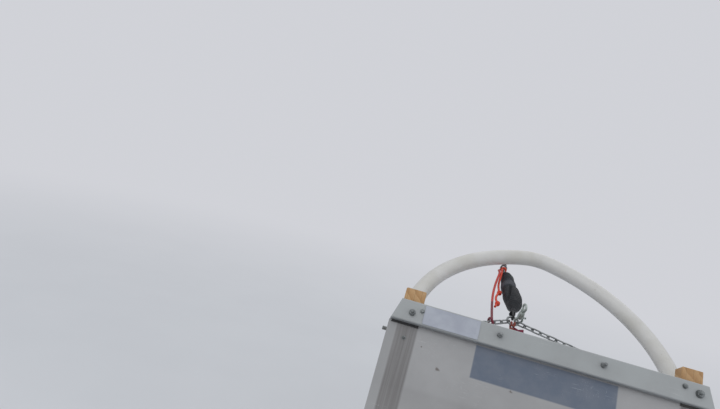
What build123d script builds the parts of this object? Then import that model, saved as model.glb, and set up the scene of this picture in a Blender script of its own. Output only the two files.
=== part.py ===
from build123d import *

import os
from dataclasses import dataclass
from math import asin, ceil, cos, degrees, hypot, pi, radians, sin, sqrt, tan

# A dog sled for touring: two shod wooden runners, side beams that turn up at the nose with a clear
# plastic bed sheet over them, a plastic crosspiece and brush bow in front, a driving bow, footboards
# and a claw brake behind, and a chain bridle with a shock absorber and a safety cord.
# Millimetres. X to the right, Y forward, Z up, ground at Z = 0.

# Bed line: the top of the side beams, which carries the sheet
bed_height = 178.0
nose_start = 1750.0
nose_radius = 230.0
nose_angle = 60.5
nose_run = 190.0

# Side beams
beam_width = 39.0
beam_depth = 28.0
beam_outer = 280.0
beam_rear = 430.0
beam_edge = 1.5

# Runners and their plastic shoes
runner_width = 36.0
runner_depth = 30.0
runner_radius = 420.0
runner_run = 95.0
shoe_width = 40.0
shoe_depth = 8.0

# Bed sheet
sheet_thickness = 4.0
sheet_overhang = 17.0
sheet_rear = 512.0

# Crosspiece across the nose, with rubber packers under its ends
bar_height = 41.0
bar_thickness = 12.0
bar_edge = 3.0
bar_past = 3.0
bar_slant = 12.5
tip_stand = 28.0
packer_thickness = 3.0
packer_show = 4.0
packer_inset = 3.0

# Blank plate on the crosspiece and the backing plate under the sheet
plate_length = 104.0
plate_height = 35.0
plate_thickness = 1.5
plate_corner = 2.0
plate_middle = -185.0
backing_length = 261.0
backing_height = 61.0
backing_thickness = 3.0
backing_drop = 2.0
backing_corner = 3.0

# Brush bow: a bent plastic rod on the front faces of the beams
bow_diameter = 34.0
round_sides = 16
bow_rise = 26.5
bow_leg = 23.0
bow_leg_angle = 93.0
bow_flank_radius = 339.0
bow_apex_radius = 94.0
bow_drop = 49.0

# Cross members on stanchions, and the slats that lie on them under the sheet
member_width = 46.0
member_depth = 22.0
member_stations = (470.0, 880.0, 1290.0, 1640.0)
stanchion_foot = 96.0
stanchion_head = 54.0
stanchion_waist = 34.0
stanchion_width = 28.0
slat_width = 62.0
slat_middle = 112.0
slat_front_gap = 12.0
nose_member_run = -14.0
member_edge = 4.0
slat_rear_gap = 6.0

# Side rails and their posts
rail_width = 22.0
rail_depth = 28.0
rail_rear_height = 520.0
rail_bend = (1160.0, 405.0)
rail_front = 1500.0
rail_bend_radius = 260.0
rail_past_leg = 34.0
rail_edge = 4.0
post_width = 26.0
post_stations = (820.0, 1130.0)

# Driving bow
handle_diameter = 26.0
handle_height = 960.0
handle_lean = 6.0
handle_top_half = 205.0
handle_corner = 105.0
handle_bend_radius = 400.0
grip_length = 190.0
grip_wall = 3.5
fit_gap = 0.25

# Footboards with tread pads
board_width = 78.0
board_depth = 12.0
board_length = 392.0
board_tail = 18.0
board_corner = 8.0
tread_inset = 8.0
tread_base = 2.5
rib_height = 2.5
rib_width = 6.0
rib_pitch = 19.0

# Claw brake
brake_pivot_drop = 26.0
brake_pin_radius = 5.0
pin_head_radius = 8.5
brake_arm_middle = 110.0
brake_arm_width = 6.0
brake_arm_height = 28.0
brake_reach = 330.0
brake_plate_length = 300.0
brake_plate_width = 58.0
brake_plate_thickness = 5.0
claw_middle = 74.0
claw_width = 8.0
claw_length = 62.0
claw_root = 34.0
claw_tip = 5.0
claw_lean = 10.0
pin_end = 3.0
bracket_thickness = 5.0
bracket_height = 30.0
bracket_gap = 1.5
spring_turns = 9
spring_wire = 3.6
spring_sides = 10

# Chain bridle between two eye plates on the front of the sheet, with a ring at its apex
link_wire = 3.0
link_pitch = 16.0
link_width = 11.0
link_end_steps = 6
loop_steps = 14
chain_gap = 0.4
eye_half = 175.0
eye_drop = 32.0
eye_reach = 21.0
eye_base = 28.0
eye_width = 22.0
eye_thickness = 3.0
eye_hole = 5.0
bridle_x = -64.0
bridle_reach = 36.0
bridle_rise = 30.0
ring_radius = 11.0
ring_wire = 4.0

# Shock absorber from the ring to an eye under the brush bow, with a snap and a hitch on the ring
bow_eye_x = -72.0
bow_eye_radius = 6.5
steel_wire = 4.0
eye_shank_radius = 3.0
rope_diameter = 4.0
sleeve_start = 13.0
sleeve_sides = 14
sleeve_radius = 12.3
sleeve_rounding = 8.0
sleeve_end_radius = 8.5
# distance along the sleeve and radius of its sections
sleeve_sections = (
    (0.0, 6.6), (8.0, 7.0), (11.0, 5.4), (20.0, 6.6), (32.0, 11.0), (42.0, 13.4), (54.0, 13.6), (64.0, 12.4),
    (68.0, 11.4), (96.0, 12.3), (99.0, 13.1), (106.0, 13.1), (109.0, 12.3),
)
front_link_length = 18.0
link_nut = 7.0
link_nut_radius = 3.4
loop_leg = 9.0
snap_place = 50.0
snap_lean = 28.0
snap_hook_turn = 315.0
snap_neck = 3.0
snap_body = 19.0
snap_body_radius = 5.0
hitch_half = 3.0
hitch_bridge = 1.7
hitch_tail = 15.0
hitch_tail_radius = 2.2
hitch_splay = 0.3
hitch_back = 0.1

# Safety cord beside the shock absorber: places along the pull, to the left of it and above it
cord_diameter = 5.0
cord_link = 2
cord_hold = 4.0
cord_points = ((205.0, 13.0, 14.0), (162.0, 23.0, 2.0), (101.0, 33.0, -1.0), (36.0, 39.0, -3.5))
cord_run_share = 0.45
cord_knots = (1, 2)
knot_radius = 5.5
knot_length = 8.0

rod_half = beam_outer - beam_width / 2
nose_tip_run = nose_run - tip_stand
bar_half = beam_outer + bar_past


@dataclass(frozen=True)
class RisingLine:
    """A line seen from the side that runs level, turns up round an arc and ends straight."""

    height: float
    turn_start: float
    radius: float
    angle: float

    def flat(self, y, offset):
        """Point above the level part, with its offset towards the arc's centre."""
        return (y, self.height + offset)

    def turned(self, angle, offset):
        """Point on the arc after the given turn in degrees."""
        reach = self.radius - offset
        turn = radians(angle)
        return (self.turn_start + reach * sin(turn), self.height + self.radius - reach * cos(turn))

    def rise(self, run, offset):
        """Point on the straight end, a run beyond the arc."""
        y, z = self.turned(self.angle, offset)
        turn = radians(self.angle)
        return (y + run * cos(turn), z + run * sin(turn))

    def band(self, start, run, low, high):
        """Side outline between two offsets, from a level start to a run up the straight end."""
        edges = []
        for offset in (low, high):
            edges.append(Line(self.flat(start, offset), self.flat(self.turn_start, offset)))
            edges.append(
                ThreePointArc(
                    self.flat(self.turn_start, offset),
                    self.turned(self.angle / 2, offset),
                    self.turned(self.angle, offset),
                )
            )
            edges.append(Line(self.turned(self.angle, offset), self.rise(run, offset)))
        edges.append(Line(self.flat(start, low), self.flat(start, high)))
        edges.append(Line(self.rise(run, low), self.rise(run, high)))
        return make_face(edges)

    def plane(self, run, offset):
        """Plane on the straight end: X across the sled, Y up the slope, Z towards the rider."""
        y, z = self.rise(run, offset)
        turn = radians(self.angle)
        return Plane(origin=(0, y, z), x_dir=(1, 0, 0), z_dir=(0, -sin(turn), cos(turn)))


bed_line = RisingLine(bed_height, nose_start, nose_radius, nose_angle)
runner_top = shoe_depth + runner_depth
runner_shift = (
    beam_depth
    + (runner_top - bed_height) * cos(radians(nose_angle))
    - (runner_radius - nose_radius) * (1 - cos(radians(nose_angle)))
) / sin(radians(nose_angle))
runner_line = RisingLine(runner_top, nose_start + runner_shift, runner_radius, nose_angle)


def side_solid(face, left, width):
    """Solid that a side outline sweeps across the sled from the given X."""
    return extrude(Plane.YZ.offset(left) * face, width)


def both_sides(solid):
    """The solid and its mirror image on the left."""
    return [mirror(solid, about=Plane.YZ), solid]


def rod(edges, face):
    """Rod of one section along straight edges and arcs that meet end to end."""
    pieces = []
    for edge in edges:
        section = Plane(origin=edge @ 0, z_dir=edge % 0) * face
        if edge.geom_type == GeomType.LINE:
            pieces.append(extrude(section, edge.length))
        else:
            axis = Axis(edge.arc_center, (edge @ 0 - edge.arc_center).cross(edge % 0))
            pieces.append(revolve(section, axis, degrees(edge.length / edge.radius)))
    return pieces[0].fuse(*pieces[1:]) if len(pieces) > 1 else pieces[0]


def bent_wire(points, diameter):
    """Six-sided wire along straight runs in the XY plane, mitred where they meet."""
    first, second = Vector(*points[0]), Vector(*points[1])
    flats = Rot(0, 0, 30) * RegularPolygon(diameter / 2, 6)
    section = Plane(origin=first, x_dir=(0, 0, 1), z_dir=second - first) * flats
    return sweep(section, path=Polyline(*points), transition=Transition.RIGHT)


def arc_corners(x, radius, start, stop, steps):
    """Corners of an arc round (x, 0) in even steps between two angles in degrees."""
    turns = [radians(start + (stop - start) * step / steps) for step in range(steps + 1)]
    return [(x + radius * cos(turn), radius * sin(turn)) for turn in turns]


def loop(radius, diameter):
    """Closed ring of wire in the XY plane, in even steps."""
    half_step = 180 / loop_steps
    corners = arc_corners(0, radius, half_step, 360 - half_step, loop_steps - 1)
    middle = (corners[0][0], 0)
    return bent_wire([middle, *corners, middle], diameter)


def oval(half, radius, diameter):
    """Closed oval of wire in the XY plane, its long sides along X."""
    front = arc_corners(half, radius, 90, -90, link_end_steps)
    rear = arc_corners(-half, radius, 270, 90, link_end_steps)
    return bent_wire([(0, radius), *front, *rear, (0, radius)], diameter)


def ridged(places, sides):
    """Solid along X through many-sided sections, given by their distances and radii."""
    return loft([Plane.YZ.offset(x) * RegularPolygon(radius, sides) for x, radius in places], ruled=True)


def beams():
    """Side beams, turned up at the nose, with softened long edges."""
    face = bed_line.band(beam_rear, nose_run, -beam_depth, 0)
    beam = side_solid(face, beam_outer - beam_width, beam_width)
    sides = beam.faces().sort_by(Axis.X)
    edges = sides[0].edges() + sides[-1].edges()
    return both_sides(chamfer(edges, beam_edge))


def runners():
    """Runners, whose fronts lie flat against the front faces of the beams."""
    face = runner_line.band(0, runner_run, -runner_depth, 0)
    return both_sides(side_solid(face, rod_half - runner_width / 2, runner_width))


def shoes():
    """Plastic shoes under the runners, the length of them."""
    face = runner_line.band(0, runner_run, -runner_depth - shoe_depth, -runner_depth)
    return both_sides(side_solid(face, rod_half - shoe_width / 2, shoe_width))


def bed_sheet():
    """Bed sheet with its top corners cut along the crosspiece's ends."""
    half = beam_outer + sheet_overhang
    face = bed_line.band(sheet_rear, nose_tip_run, 0, sheet_thickness)
    sheet = side_solid(face, -half, 2 * half)
    top = bed_line.plane(nose_tip_run, 0)
    for side in (-1, 1):
        corner = Polyline(
            (side * bar_half, 0),
            (side * 2 * half, 0),
            (side * 2 * half, -bar_height),
            (side * (bar_half + bar_slant), -bar_height),
            close=True,
        )
        sheet -= extrude(top * make_face(corner), 2 * sheet_thickness, both=True)
    return sheet


def crosspiece():
    """Plastic bar across the nose with slanting ends and rounded edges."""
    base = bed_line.plane(nose_tip_run, sheet_thickness + packer_thickness)
    outline = Polyline(
        (-bar_half, 0),
        (bar_half, 0),
        (bar_half + bar_slant, -bar_height),
        (-bar_half - bar_slant, -bar_height),
        close=True,
    )
    bar = extrude(base * make_face(outline), bar_thickness)
    rider_face = bar.faces().sort_by(Axis((0, 0, 0), tuple(base.z_dir)))[-1]
    return fillet(rider_face.edges(), bar_edge)


def packers():
    """Rubber packers between the sheet and the ends of the crosspiece."""
    base = bed_line.plane(nose_tip_run, sheet_thickness)
    inner = beam_outer - beam_width
    outer = bar_half - packer_inset
    solids = []
    for side in (-1, 1):
        outline = Polyline(
            (side * inner, -packer_inset),
            (side * outer, -packer_inset),
            (side * (outer + bar_slant), -bar_height - packer_show),
            (side * inner, -bar_height - packer_show),
            close=True,
        )
        solids.append(extrude(base * make_face(outline), packer_thickness))
    return solids


def blank_plate():
    """Thin plate with rounded corners on the crosspiece, left blank."""
    offset = sheet_thickness + packer_thickness + bar_thickness
    base = bed_line.plane(nose_tip_run - bar_height / 2, offset)
    face = Pos(plate_middle, 0) * RectangleRounded(plate_length, plate_height, plate_corner)
    return extrude(base * face, plate_thickness)


def backing_plate():
    """Stiffening plate under the sheet, just below the crosspiece."""
    run = nose_tip_run - bar_height - backing_drop - backing_height / 2
    base = bed_line.plane(run, -backing_thickness)
    return extrude(base * RectangleRounded(backing_length, backing_height, backing_corner), backing_thickness)


def bow_frame():
    """Tilted plane of the brush bow: X across, Y forward along its rise."""
    y, z = bed_line.rise(nose_tip_run - bow_drop, -beam_depth)
    tilt = radians(bow_rise)
    return Plane(origin=(0, y, z), x_dir=(1, 0, 0), z_dir=(0, -sin(tilt), cos(tilt)))


def bow_shape():
    """Right half of the bow in its plane: knee, flank arc's centre, turn where the apex arc begins."""
    leg = radians(bow_leg_angle)
    knee = (rod_half - bow_leg * cos(leg), bow_leg * sin(leg))
    centre = (knee[0] - bow_flank_radius * sin(leg), knee[1] - bow_flank_radius * cos(leg))
    return knee, centre, asin(-centre[0] / (bow_flank_radius - bow_apex_radius))


def bow_apex():
    """Y of the bow's apex in its plane."""
    _, centre, turn = bow_shape()
    return centre[1] + (bow_flank_radius - bow_apex_radius) * cos(turn) + bow_apex_radius


def bow_middle(x):
    """Point of the bow's centre line on a flank, at the given X."""
    _, centre, _ = bow_shape()
    y = centre[1] + sqrt(bow_flank_radius**2 - (abs(x) - centre[0]) ** 2)
    return bow_frame().from_local_coords(Vector(x, y, 0))


def brush_bow():
    """Plastic rod bent into a bow, its ends cut flat against the beams."""
    knee, centre, turn = bow_shape()
    leg = radians(bow_leg_angle)
    start = (rod_half + bow_diameter * cos(leg), -bow_diameter * sin(leg))
    flank, shoulder = [
        (centre[0] + bow_flank_radius * sin(angle), centre[1] + bow_flank_radius * cos(angle))
        for angle in ((leg + turn) / 2, turn)
    ]
    edges = [Line(start, knee), ThreePointArc(knee, flank, shoulder)]
    edges.append(ThreePointArc(shoulder, (0, bow_apex()), (-shoulder[0], shoulder[1])))
    edges.append(ThreePointArc((-shoulder[0], shoulder[1]), (-flank[0], flank[1]), (-knee[0], knee[1])))
    edges.append(Line((-knee[0], knee[1]), (-start[0], start[1])))
    bow = bow_frame() * rod(edges, RegularPolygon(bow_diameter / 2, round_sides))
    behind = bed_line.plane(nose_tip_run, -beam_depth) * Rectangle(4 * beam_outer, 8 * bow_diameter)
    return bow - extrude(behind, 4 * bow_diameter)


def members():
    """Cross members under the beams, and one across the front of the nose under the sheet."""
    top = bed_height - beam_depth
    solids = []
    for station in member_stations:
        bar = Box(2 * beam_outer, member_width, member_depth, align=(Align.CENTER, Align.CENTER, Align.MAX))
        bar = chamfer(bar.edges().filter_by(Axis.X), member_edge)
        solids.append(Pos(0, station, top) * bar)
    inner = beam_outer - beam_width
    brace = extrude(bed_line.plane(nose_member_run, 0) * Rectangle(2 * inner, member_width), -beam_depth)
    solids.append(brace)
    return solids


def stanchions(side):
    """Waisted stanchions between one runner and the cross members."""
    top = bed_height - beam_depth - member_depth
    middle = (runner_top + top) / 2
    solids = []
    for station in member_stations[:-1]:
        edges = []
        for way in (-1, 1):
            foot = (station + way * stanchion_foot / 2, runner_top)
            waist = (station + way * stanchion_waist / 2, middle)
            head = (station + way * stanchion_head / 2, top)
            edges.append(ThreePointArc(foot, waist, head))
        edges.append(Line(edges[0] @ 0, edges[1] @ 0))
        edges.append(Line(edges[0] @ 1, edges[1] @ 1))
        solids.append(side_solid(make_face(edges), side * rod_half - stanchion_width / 2, stanchion_width))
    return solids


def slats():
    """Slats along the bed between the cross members and the sheet."""
    rear = member_stations[0] + member_width / 2 + slat_rear_gap
    length = nose_start - slat_front_gap - rear
    solids = []
    for middle in (-slat_middle, 0, slat_middle):
        slat = Box(slat_width, length, beam_depth, align=(Align.CENTER, Align.MIN, Align.MAX))
        solids.append(Pos(middle, rear, bed_height) * slat)
    return solids


def leg_y(height):
    """Y of the driving bow's centre line at a height."""
    return member_stations[0] - (height - bed_height + beam_depth) * sin(radians(handle_lean))


def rail_path():
    """Side rail's centre line, seen from the side, from behind the driving bow to the sheet."""
    rear = (leg_y(rail_rear_height) - rail_past_leg, rail_rear_height)
    slope = (bed_height - rail_bend[1]) / (rail_front - rail_bend[0])
    front = (rail_front + rail_depth, bed_height + rail_depth * slope)
    return FilletPolyline(rear, rail_bend, front, radius=rail_bend_radius)


def side_rail():
    """Right side rail, cut level where it lands on the sheet."""
    left = beam_outer - beam_width
    path = Plane.YZ.offset(left + rail_width / 2) * rail_path()
    section = Plane(origin=path @ 0, x_dir=(1, 0, 0), z_dir=path % 0)
    profile = Rectangle(rail_width, rail_depth)
    rail = sweep(section * chamfer(profile.vertices(), rail_edge), path=path)
    floor = Box(4 * rail_width, 8 * rail_depth, 4 * rail_depth, align=(Align.CENTER, Align.CENTER, Align.MAX))
    return rail - Pos(left, rail_front, bed_height + sheet_thickness) * floor


def posts(rail):
    """Posts from the sheet up to the underside of the right rail."""
    left = beam_outer - beam_width + rail_width / 2
    solids = []
    for station in post_stations:
        post = Box(rail_width - 2 * rail_edge, post_width, rail_rear_height - bed_height,
                   align=(Align.CENTER, Align.CENTER, Align.MIN))
        post = Pos(left, station, bed_height + sheet_thickness) * post - rail
        solids.append(post.solids().sort_by(Axis.Z)[0])
    return solids


def handle_frame():
    """Leaning plane of the driving bow: X across, Y up its legs, origin on the rear cross member."""
    lean = radians(handle_lean)
    base = bed_height - beam_depth
    return Plane(origin=(0, member_stations[0], base), x_dir=(1, 0, 0), z_dir=(0, -cos(lean), -sin(lean)))


def handle_half():
    """Half the spacing of the driving bow's legs at their feet."""
    return beam_outer - beam_width - handle_diameter / 2


def driving_bow():
    """Round bow whose legs stand on the rear cross member against the side rails."""
    base = bed_height - beam_depth
    rise = (handle_height - base) / cos(radians(handle_lean))
    half = handle_half()
    foot = -handle_diameter
    bend = (rail_rear_height + rail_depth - base) / cos(radians(handle_lean))
    right = [(half, foot), (half, bend), (handle_top_half, rise)]
    points = right + [(-x, y) for x, y in reversed(right)]
    radii = [handle_bend_radius, handle_corner, handle_corner, handle_bend_radius]
    path = handle_frame() * FilletPolyline(*points, radius=radii)
    bow = rod(path.edges(), RegularPolygon(handle_diameter / 2, round_sides))
    below = Box(4 * half, 8 * handle_diameter, 4 * handle_diameter, align=(Align.CENTER, Align.CENTER, Align.MAX))
    return bow - Pos(0, member_stations[0], base) * below


def grip():
    """Sleeve on the top of the driving bow."""
    rise = (handle_height - bed_height + beam_depth) / cos(radians(handle_lean))
    middle = handle_frame().from_local_coords(Vector(0, rise, 0))
    inner = handle_diameter / 2 + fit_gap
    ring = Circle(inner + grip_wall) - Circle(inner)
    return Pos(*middle) * extrude(Plane.YZ * ring, grip_length / 2, both=True)


def footboards():
    """Boards on the tails of the runners."""
    board = Box(board_width, board_length, board_depth, align=(Align.CENTER, Align.MIN, Align.MIN))
    board = fillet(board.edges().filter_by(Axis.Z), board_corner)
    return both_sides(Pos(rod_half, board_tail, runner_top) * board)


def treads():
    """Ribbed rubber treads on the footboards."""
    width = board_width - 2 * tread_inset
    length = board_length - 2 * tread_inset
    tread = Box(width, length, tread_base, align=(Align.CENTER, Align.MIN, Align.MIN))
    count = int((length - rib_width) // rib_pitch) + 1
    first = (length - (count - 1) * rib_pitch) / 2
    rib = Box(width, rib_width, rib_height, align=(Align.CENTER, Align.CENTER, Align.MIN))
    for index in range(count):
        tread += Pos(0, first + index * rib_pitch, tread_base) * rib
    return both_sides(Pos(rod_half, board_tail + tread_inset, runner_top + board_depth) * tread)


brake_pivot = (member_stations[0], bed_height - beam_depth - member_depth - brake_pivot_drop)


def brake_arms():
    """Flat arms from the pivot pin back to the foot plate, with round ends."""
    y, z = brake_pivot
    end = (y - brake_reach, z)
    radius = brake_arm_height / 2
    face = make_hull((Pos(y, z) * Circle(radius)).edges() + (Pos(*end) * Circle(radius)).edges())
    face -= Pos(y, z) * Circle(brake_pin_radius + fit_gap)
    arm = side_solid(face, brake_arm_middle - brake_arm_width / 2, brake_arm_width)
    return both_sides(arm)


def brake_plate():
    """Foot plate across the arms, ribbed on top."""
    y, z = brake_pivot
    top = z + brake_arm_height / 2 + brake_plate_thickness
    plate = Box(brake_plate_length, brake_plate_width, brake_plate_thickness,
                align=(Align.CENTER, Align.CENTER, Align.MAX))
    plate = fillet(plate.edges().filter_by(Axis.Z), board_corner)
    plate = Pos(0, y - brake_reach, top) * plate
    rib = Box(brake_plate_length - 4 * tread_inset, rib_width / 2, rib_height / 2,
              align=(Align.CENTER, Align.CENTER, Align.MIN))
    for way in (-1, 0, 1):
        plate += Pos(0, y - brake_reach + way * brake_plate_width / 4, top) * rib
    return plate


def claws():
    """Pointed claws under the foot plate."""
    y, z = brake_pivot
    top = z + brake_arm_height / 2
    back = y - brake_reach
    outline = Polyline(
        (back - claw_root / 2, top),
        (back + claw_root / 2, top),
        (back + claw_lean + claw_tip, top - claw_length),
        (back + claw_lean, top - claw_length),
        close=True,
    )
    return both_sides(side_solid(make_face(outline), claw_middle - claw_width / 2, claw_width))


def brackets():
    """Ears under the rear cross member that hold the brake's pins, one each side of each arm."""
    y, z = brake_pivot
    top = z + brake_pivot_drop
    half = bracket_height / 2
    face = Pos(y, z) * Circle(half) + Pos(y, (z + top) / 2) * Rectangle(2 * half, top - z)
    face -= Pos(y, z) * Circle(brake_pin_radius + fit_gap)
    solids = []
    for way in (-1, 1):
        middle = brake_arm_middle + way * (brake_arm_width / 2 + bracket_gap + bracket_thickness / 2)
        solids += both_sides(side_solid(face, middle - bracket_thickness / 2, bracket_thickness))
    return solids


def pins():
    """Pivot pins with heads outside the ears."""
    y, z = brake_pivot
    reach = brake_arm_width / 2 + bracket_gap + bracket_thickness + fit_gap
    inner = brake_arm_middle - reach - spring_turns * spring_wire - pin_end
    outer = brake_arm_middle + reach
    shank = side_solid(Pos(y, z) * Circle(brake_pin_radius), inner, outer - inner)
    head = side_solid(Pos(y, z) * Circle(pin_head_radius), outer, brake_pin_radius)
    return both_sides(shank + head)


def springs():
    """Close-wound return springs on the pins, drawn as ridged sleeves."""
    y, z = brake_pivot
    start = brake_arm_middle - brake_arm_width / 2 - bracket_gap - bracket_thickness - fit_gap
    inner = brake_pin_radius + fit_gap
    places = [(0, inner + spring_wire / 2)]
    for turn in range(spring_turns):
        places.append(((turn + 0.5) * spring_wire, inner + spring_wire))
        places.append(((turn + 1) * spring_wire, inner + spring_wire / 2))
    length = spring_turns * spring_wire
    sleeve = ridged(places, spring_sides) - extrude(Plane.YZ * Circle(inner), length)
    return both_sides(Pos(start - length, y, z) * sleeve)


def bridle_plane():
    """Plane of the chain's legs: X across, Y forward along their rise, origin where the eye plates bend."""
    y, z = bed_line.rise(nose_tip_run - eye_drop, -eye_thickness / 2)
    turn = radians(bridle_rise)
    return Plane(origin=(0, y, z), x_dir=(1, 0, 0), z_dir=(0, -sin(turn), cos(turn)))


def bridle_eyes():
    """Bent plates on the front of the sheet, each with a hole for the chain's last link."""
    run = nose_tip_run - eye_drop - (eye_base - eye_thickness) / 2
    base = bed_line.plane(run, -eye_thickness) * Rectangle(eye_width, eye_base + eye_thickness)
    lug = Pos(0, eye_reach / 2) * Rectangle(eye_width, eye_reach) + Pos(0, eye_reach) * Circle(eye_width / 2)
    lug -= Pos(0, eye_reach) * Circle(eye_hole)
    plate = extrude(base, eye_thickness) + extrude(bridle_plane() * lug, eye_thickness / 2, both=True)
    return [Pos(side * eye_half, 0, 0) * plate for side in (-1, 1)]


link_end = (link_width - link_wire) / 2
link_half = (link_pitch + link_wire) / 2
link_step = link_pitch - chain_gap
ring_hold = ring_radius - (ring_wire + link_wire) / 2 - chain_gap + link_half
eye_hold = eye_hole - link_wire / 2 - 2 * chain_gap + link_half


def leg_links(across):
    """Number of links, always odd, that reach from the ring to an eye so far across."""
    pairs = (hypot(across, bridle_reach) - ring_hold - eye_hold) / (2 * link_step)
    return 2 * ceil(pairs) + 1


left_links = leg_links(eye_half + bridle_x)
right_links = leg_links(eye_half - bridle_x)


def ring_place():
    """Place of the ring in the bridle's plane, where the two legs meet."""
    left, right = [(links - 1) * link_step + ring_hold + eye_hold for links in (left_links, right_links)]
    x = (left**2 - right**2) / (4 * eye_half)
    return Vector(x, eye_reach + sqrt(left**2 - (x + eye_half) ** 2), 0)


def link_plane(side, index):
    """Plane of one link, counted from the ring: X along its leg, and a quarter turn from the next."""
    along = (Vector(side * eye_half, eye_reach, 0) - ring_place()).normalized()
    middle = ring_place() + along * (ring_hold + index * link_step)
    up = Vector(0, 0, 1)
    return Plane(origin=middle, x_dir=along, z_dir=up.cross(along) if index % 2 == 0 else up)


def bridle_chain():
    """Both legs of the bridle, link in link from the ring to the eyes."""
    link = oval(link_half - link_end, link_end, link_wire)
    links = []
    for side, count in ((-1, left_links), (1, right_links)):
        links += [bridle_plane() * link_plane(side, index) * link for index in range(count)]
    return links


def bridle_ring():
    """Steel ring in which both legs meet."""
    return bridle_plane() * Pos(*ring_place()) * loop(ring_radius, ring_wire)


def bow_eye_centre():
    """Middle of the hole of the eye under the bow."""
    drop = bow_diameter / 2 + bow_eye_radius + steel_wire
    return bow_middle(bow_eye_x) - Vector(0, 0, drop)


def bow_eye(bow):
    """Eye bolt under the bow, facing the rider, its shank cut to the bow's surface."""
    centre = bow_eye_centre()
    foot = Plane(origin=centre + Vector(0, 0, bow_eye_radius))
    shank = extrude(foot * RegularPolygon(eye_shank_radius, 8), 2 * steel_wire)
    ring = Plane(origin=centre, x_dir=(0, 0, 1), z_dir=(0, 1, 0)) * loop(bow_eye_radius, steel_wire)
    return ring + shank - bow


def pull_plane():
    """Plane of the shock absorber: origin on the ring's front, X towards the bow's eye, Z up."""
    start = bridle_plane().from_local_coords(ring_place() + Vector(0, ring_radius, 0))
    along = bow_eye_centre() - Vector(0, 0, bow_eye_radius) - start
    return Plane(origin=start, x_dir=along, z_dir=along.cross(Vector(0, 0, 1)).cross(along))


def pull_length():
    """Distance from the ring's front to the lowest wire of the bow's eye."""
    start = bridle_plane().from_local_coords(ring_place() + Vector(0, ring_radius, 0))
    return (bow_eye_centre() - Vector(0, 0, bow_eye_radius) - start).length


def front_link_half():
    """Distance of the front link's long wires from its middle line."""
    return steel_wire + 2 * chain_gap


def front_link():
    """Oval steel link from the bow's eye to the shock absorber's front loop."""
    middle = pull_length() - front_link_length / 2
    start = rope_diameter / 2 + chain_gap - front_link_length / 2
    nut = Plane(origin=(start, front_link_half(), 0), z_dir=(1, 0, 0)) * RegularPolygon(link_nut_radius, 6)
    link = oval(front_link_length / 2, front_link_half(), steel_wire) + extrude(nut, link_nut)
    return pull_plane() * Pos(middle, 0, 0) * Rot(90, 0, 0) * link


def sleeve_end():
    """Distance along the pull at which the shock absorber's sleeve ends."""
    return pull_length() - front_link_length - steel_wire - 2 * chain_gap - loop_leg


def rope_loops():
    """Rope loops at both ends of the sleeve, round the ring and through the front link."""
    radius = (rope_diameter + max(ring_wire, steel_wire)) / 2 + 2 * chain_gap
    end = sleeve_end()
    rear = [(sleeve_start, radius), *arc_corners(0, radius, 90, 270, link_end_steps), (sleeve_start, -radius)]
    arc = arc_corners(end + loop_leg, radius, -90, 90, link_end_steps)
    front = [(end, -radius), *arc, (end, radius)]
    rear_loop = Rot(90, 0, 0) * bent_wire(rear, rope_diameter)
    return [pull_plane() * rear_loop, pull_plane() * bent_wire(front, rope_diameter)]


def shock_sleeve():
    """Sewn sleeve over the shock absorber's bungee, gathered towards its rear tip."""
    end = sleeve_end() - sleeve_start
    places = [(sleeve_start + distance, radius) for distance, radius in sleeve_sections]
    places += [(sleeve_start + end - sleeve_rounding, sleeve_radius), (sleeve_start + end, sleeve_end_radius)]
    return pull_plane() * ridged(places, sleeve_sides)


def bridle_snap():
    """Swivel snap hooked on the ring beside the shock absorber, leaning over it."""
    place = radians(snap_place)
    outward = Vector(sin(place), cos(place), 0)
    across = outward.cross(Vector(0, 0, 1))
    frame = Plane(origin=ring_place() + outward * ring_radius, x_dir=outward, z_dir=across)
    radius = (ring_wire + steel_wire) / 2 + 2 * chain_gap
    snap = bent_wire(arc_corners(0, radius, 0, snap_hook_turn, loop_steps), steel_wire)
    neck = (snap_neck, eye_shank_radius)
    start = radius
    for length, width in (neck, (snap_body, snap_body_radius), neck):
        snap += extrude(Plane.YZ.offset(start) * RegularPolygon(width, 8), length)
        start += length
    snap += Pos(start + bow_eye_radius, 0) * loop(bow_eye_radius, steel_wire)
    return bridle_plane() * frame * Rot(0, 0, snap_lean) * snap


def ring_hitch():
    """Rope end hitched on the rear of the ring, its two tails hanging."""
    radius = (ring_wire + rope_diameter) / 2 + 2 * chain_gap
    bridge = Plane.YZ.offset(-hitch_half) * Pos(0, radius) * RegularPolygon(hitch_bridge, 6)
    hitch = extrude(bridge, 2 * hitch_half)
    for side in (-1, 1):
        wrap = Plane.YZ.offset(side * hitch_half) * loop(radius, rope_diameter)
        tail = Plane(origin=(side * hitch_half, 0, -radius), z_dir=(side * hitch_splay, -hitch_back, -1))
        hitch += wrap + extrude(tail * RegularPolygon(hitch_tail_radius, 8), hitch_tail)
    rear = bridle_plane().from_local_coords(ring_place() - Vector(0, ring_radius, 0))
    return Pos(*rear) * hitch


def route_radii(points):
    """Radius of the arc at each inner point of a cord's route, as large as its two runs allow."""
    radii = []
    for before, point, after in zip(points, points[1:], points[2:]):
        arriving = point - before
        leaving = after - point
        turn = radians(arriving.get_angle(leaving))
        radii.append(cord_run_share * min(arriving.length, leaving.length) / tan(turn / 2))
    return radii


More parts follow.
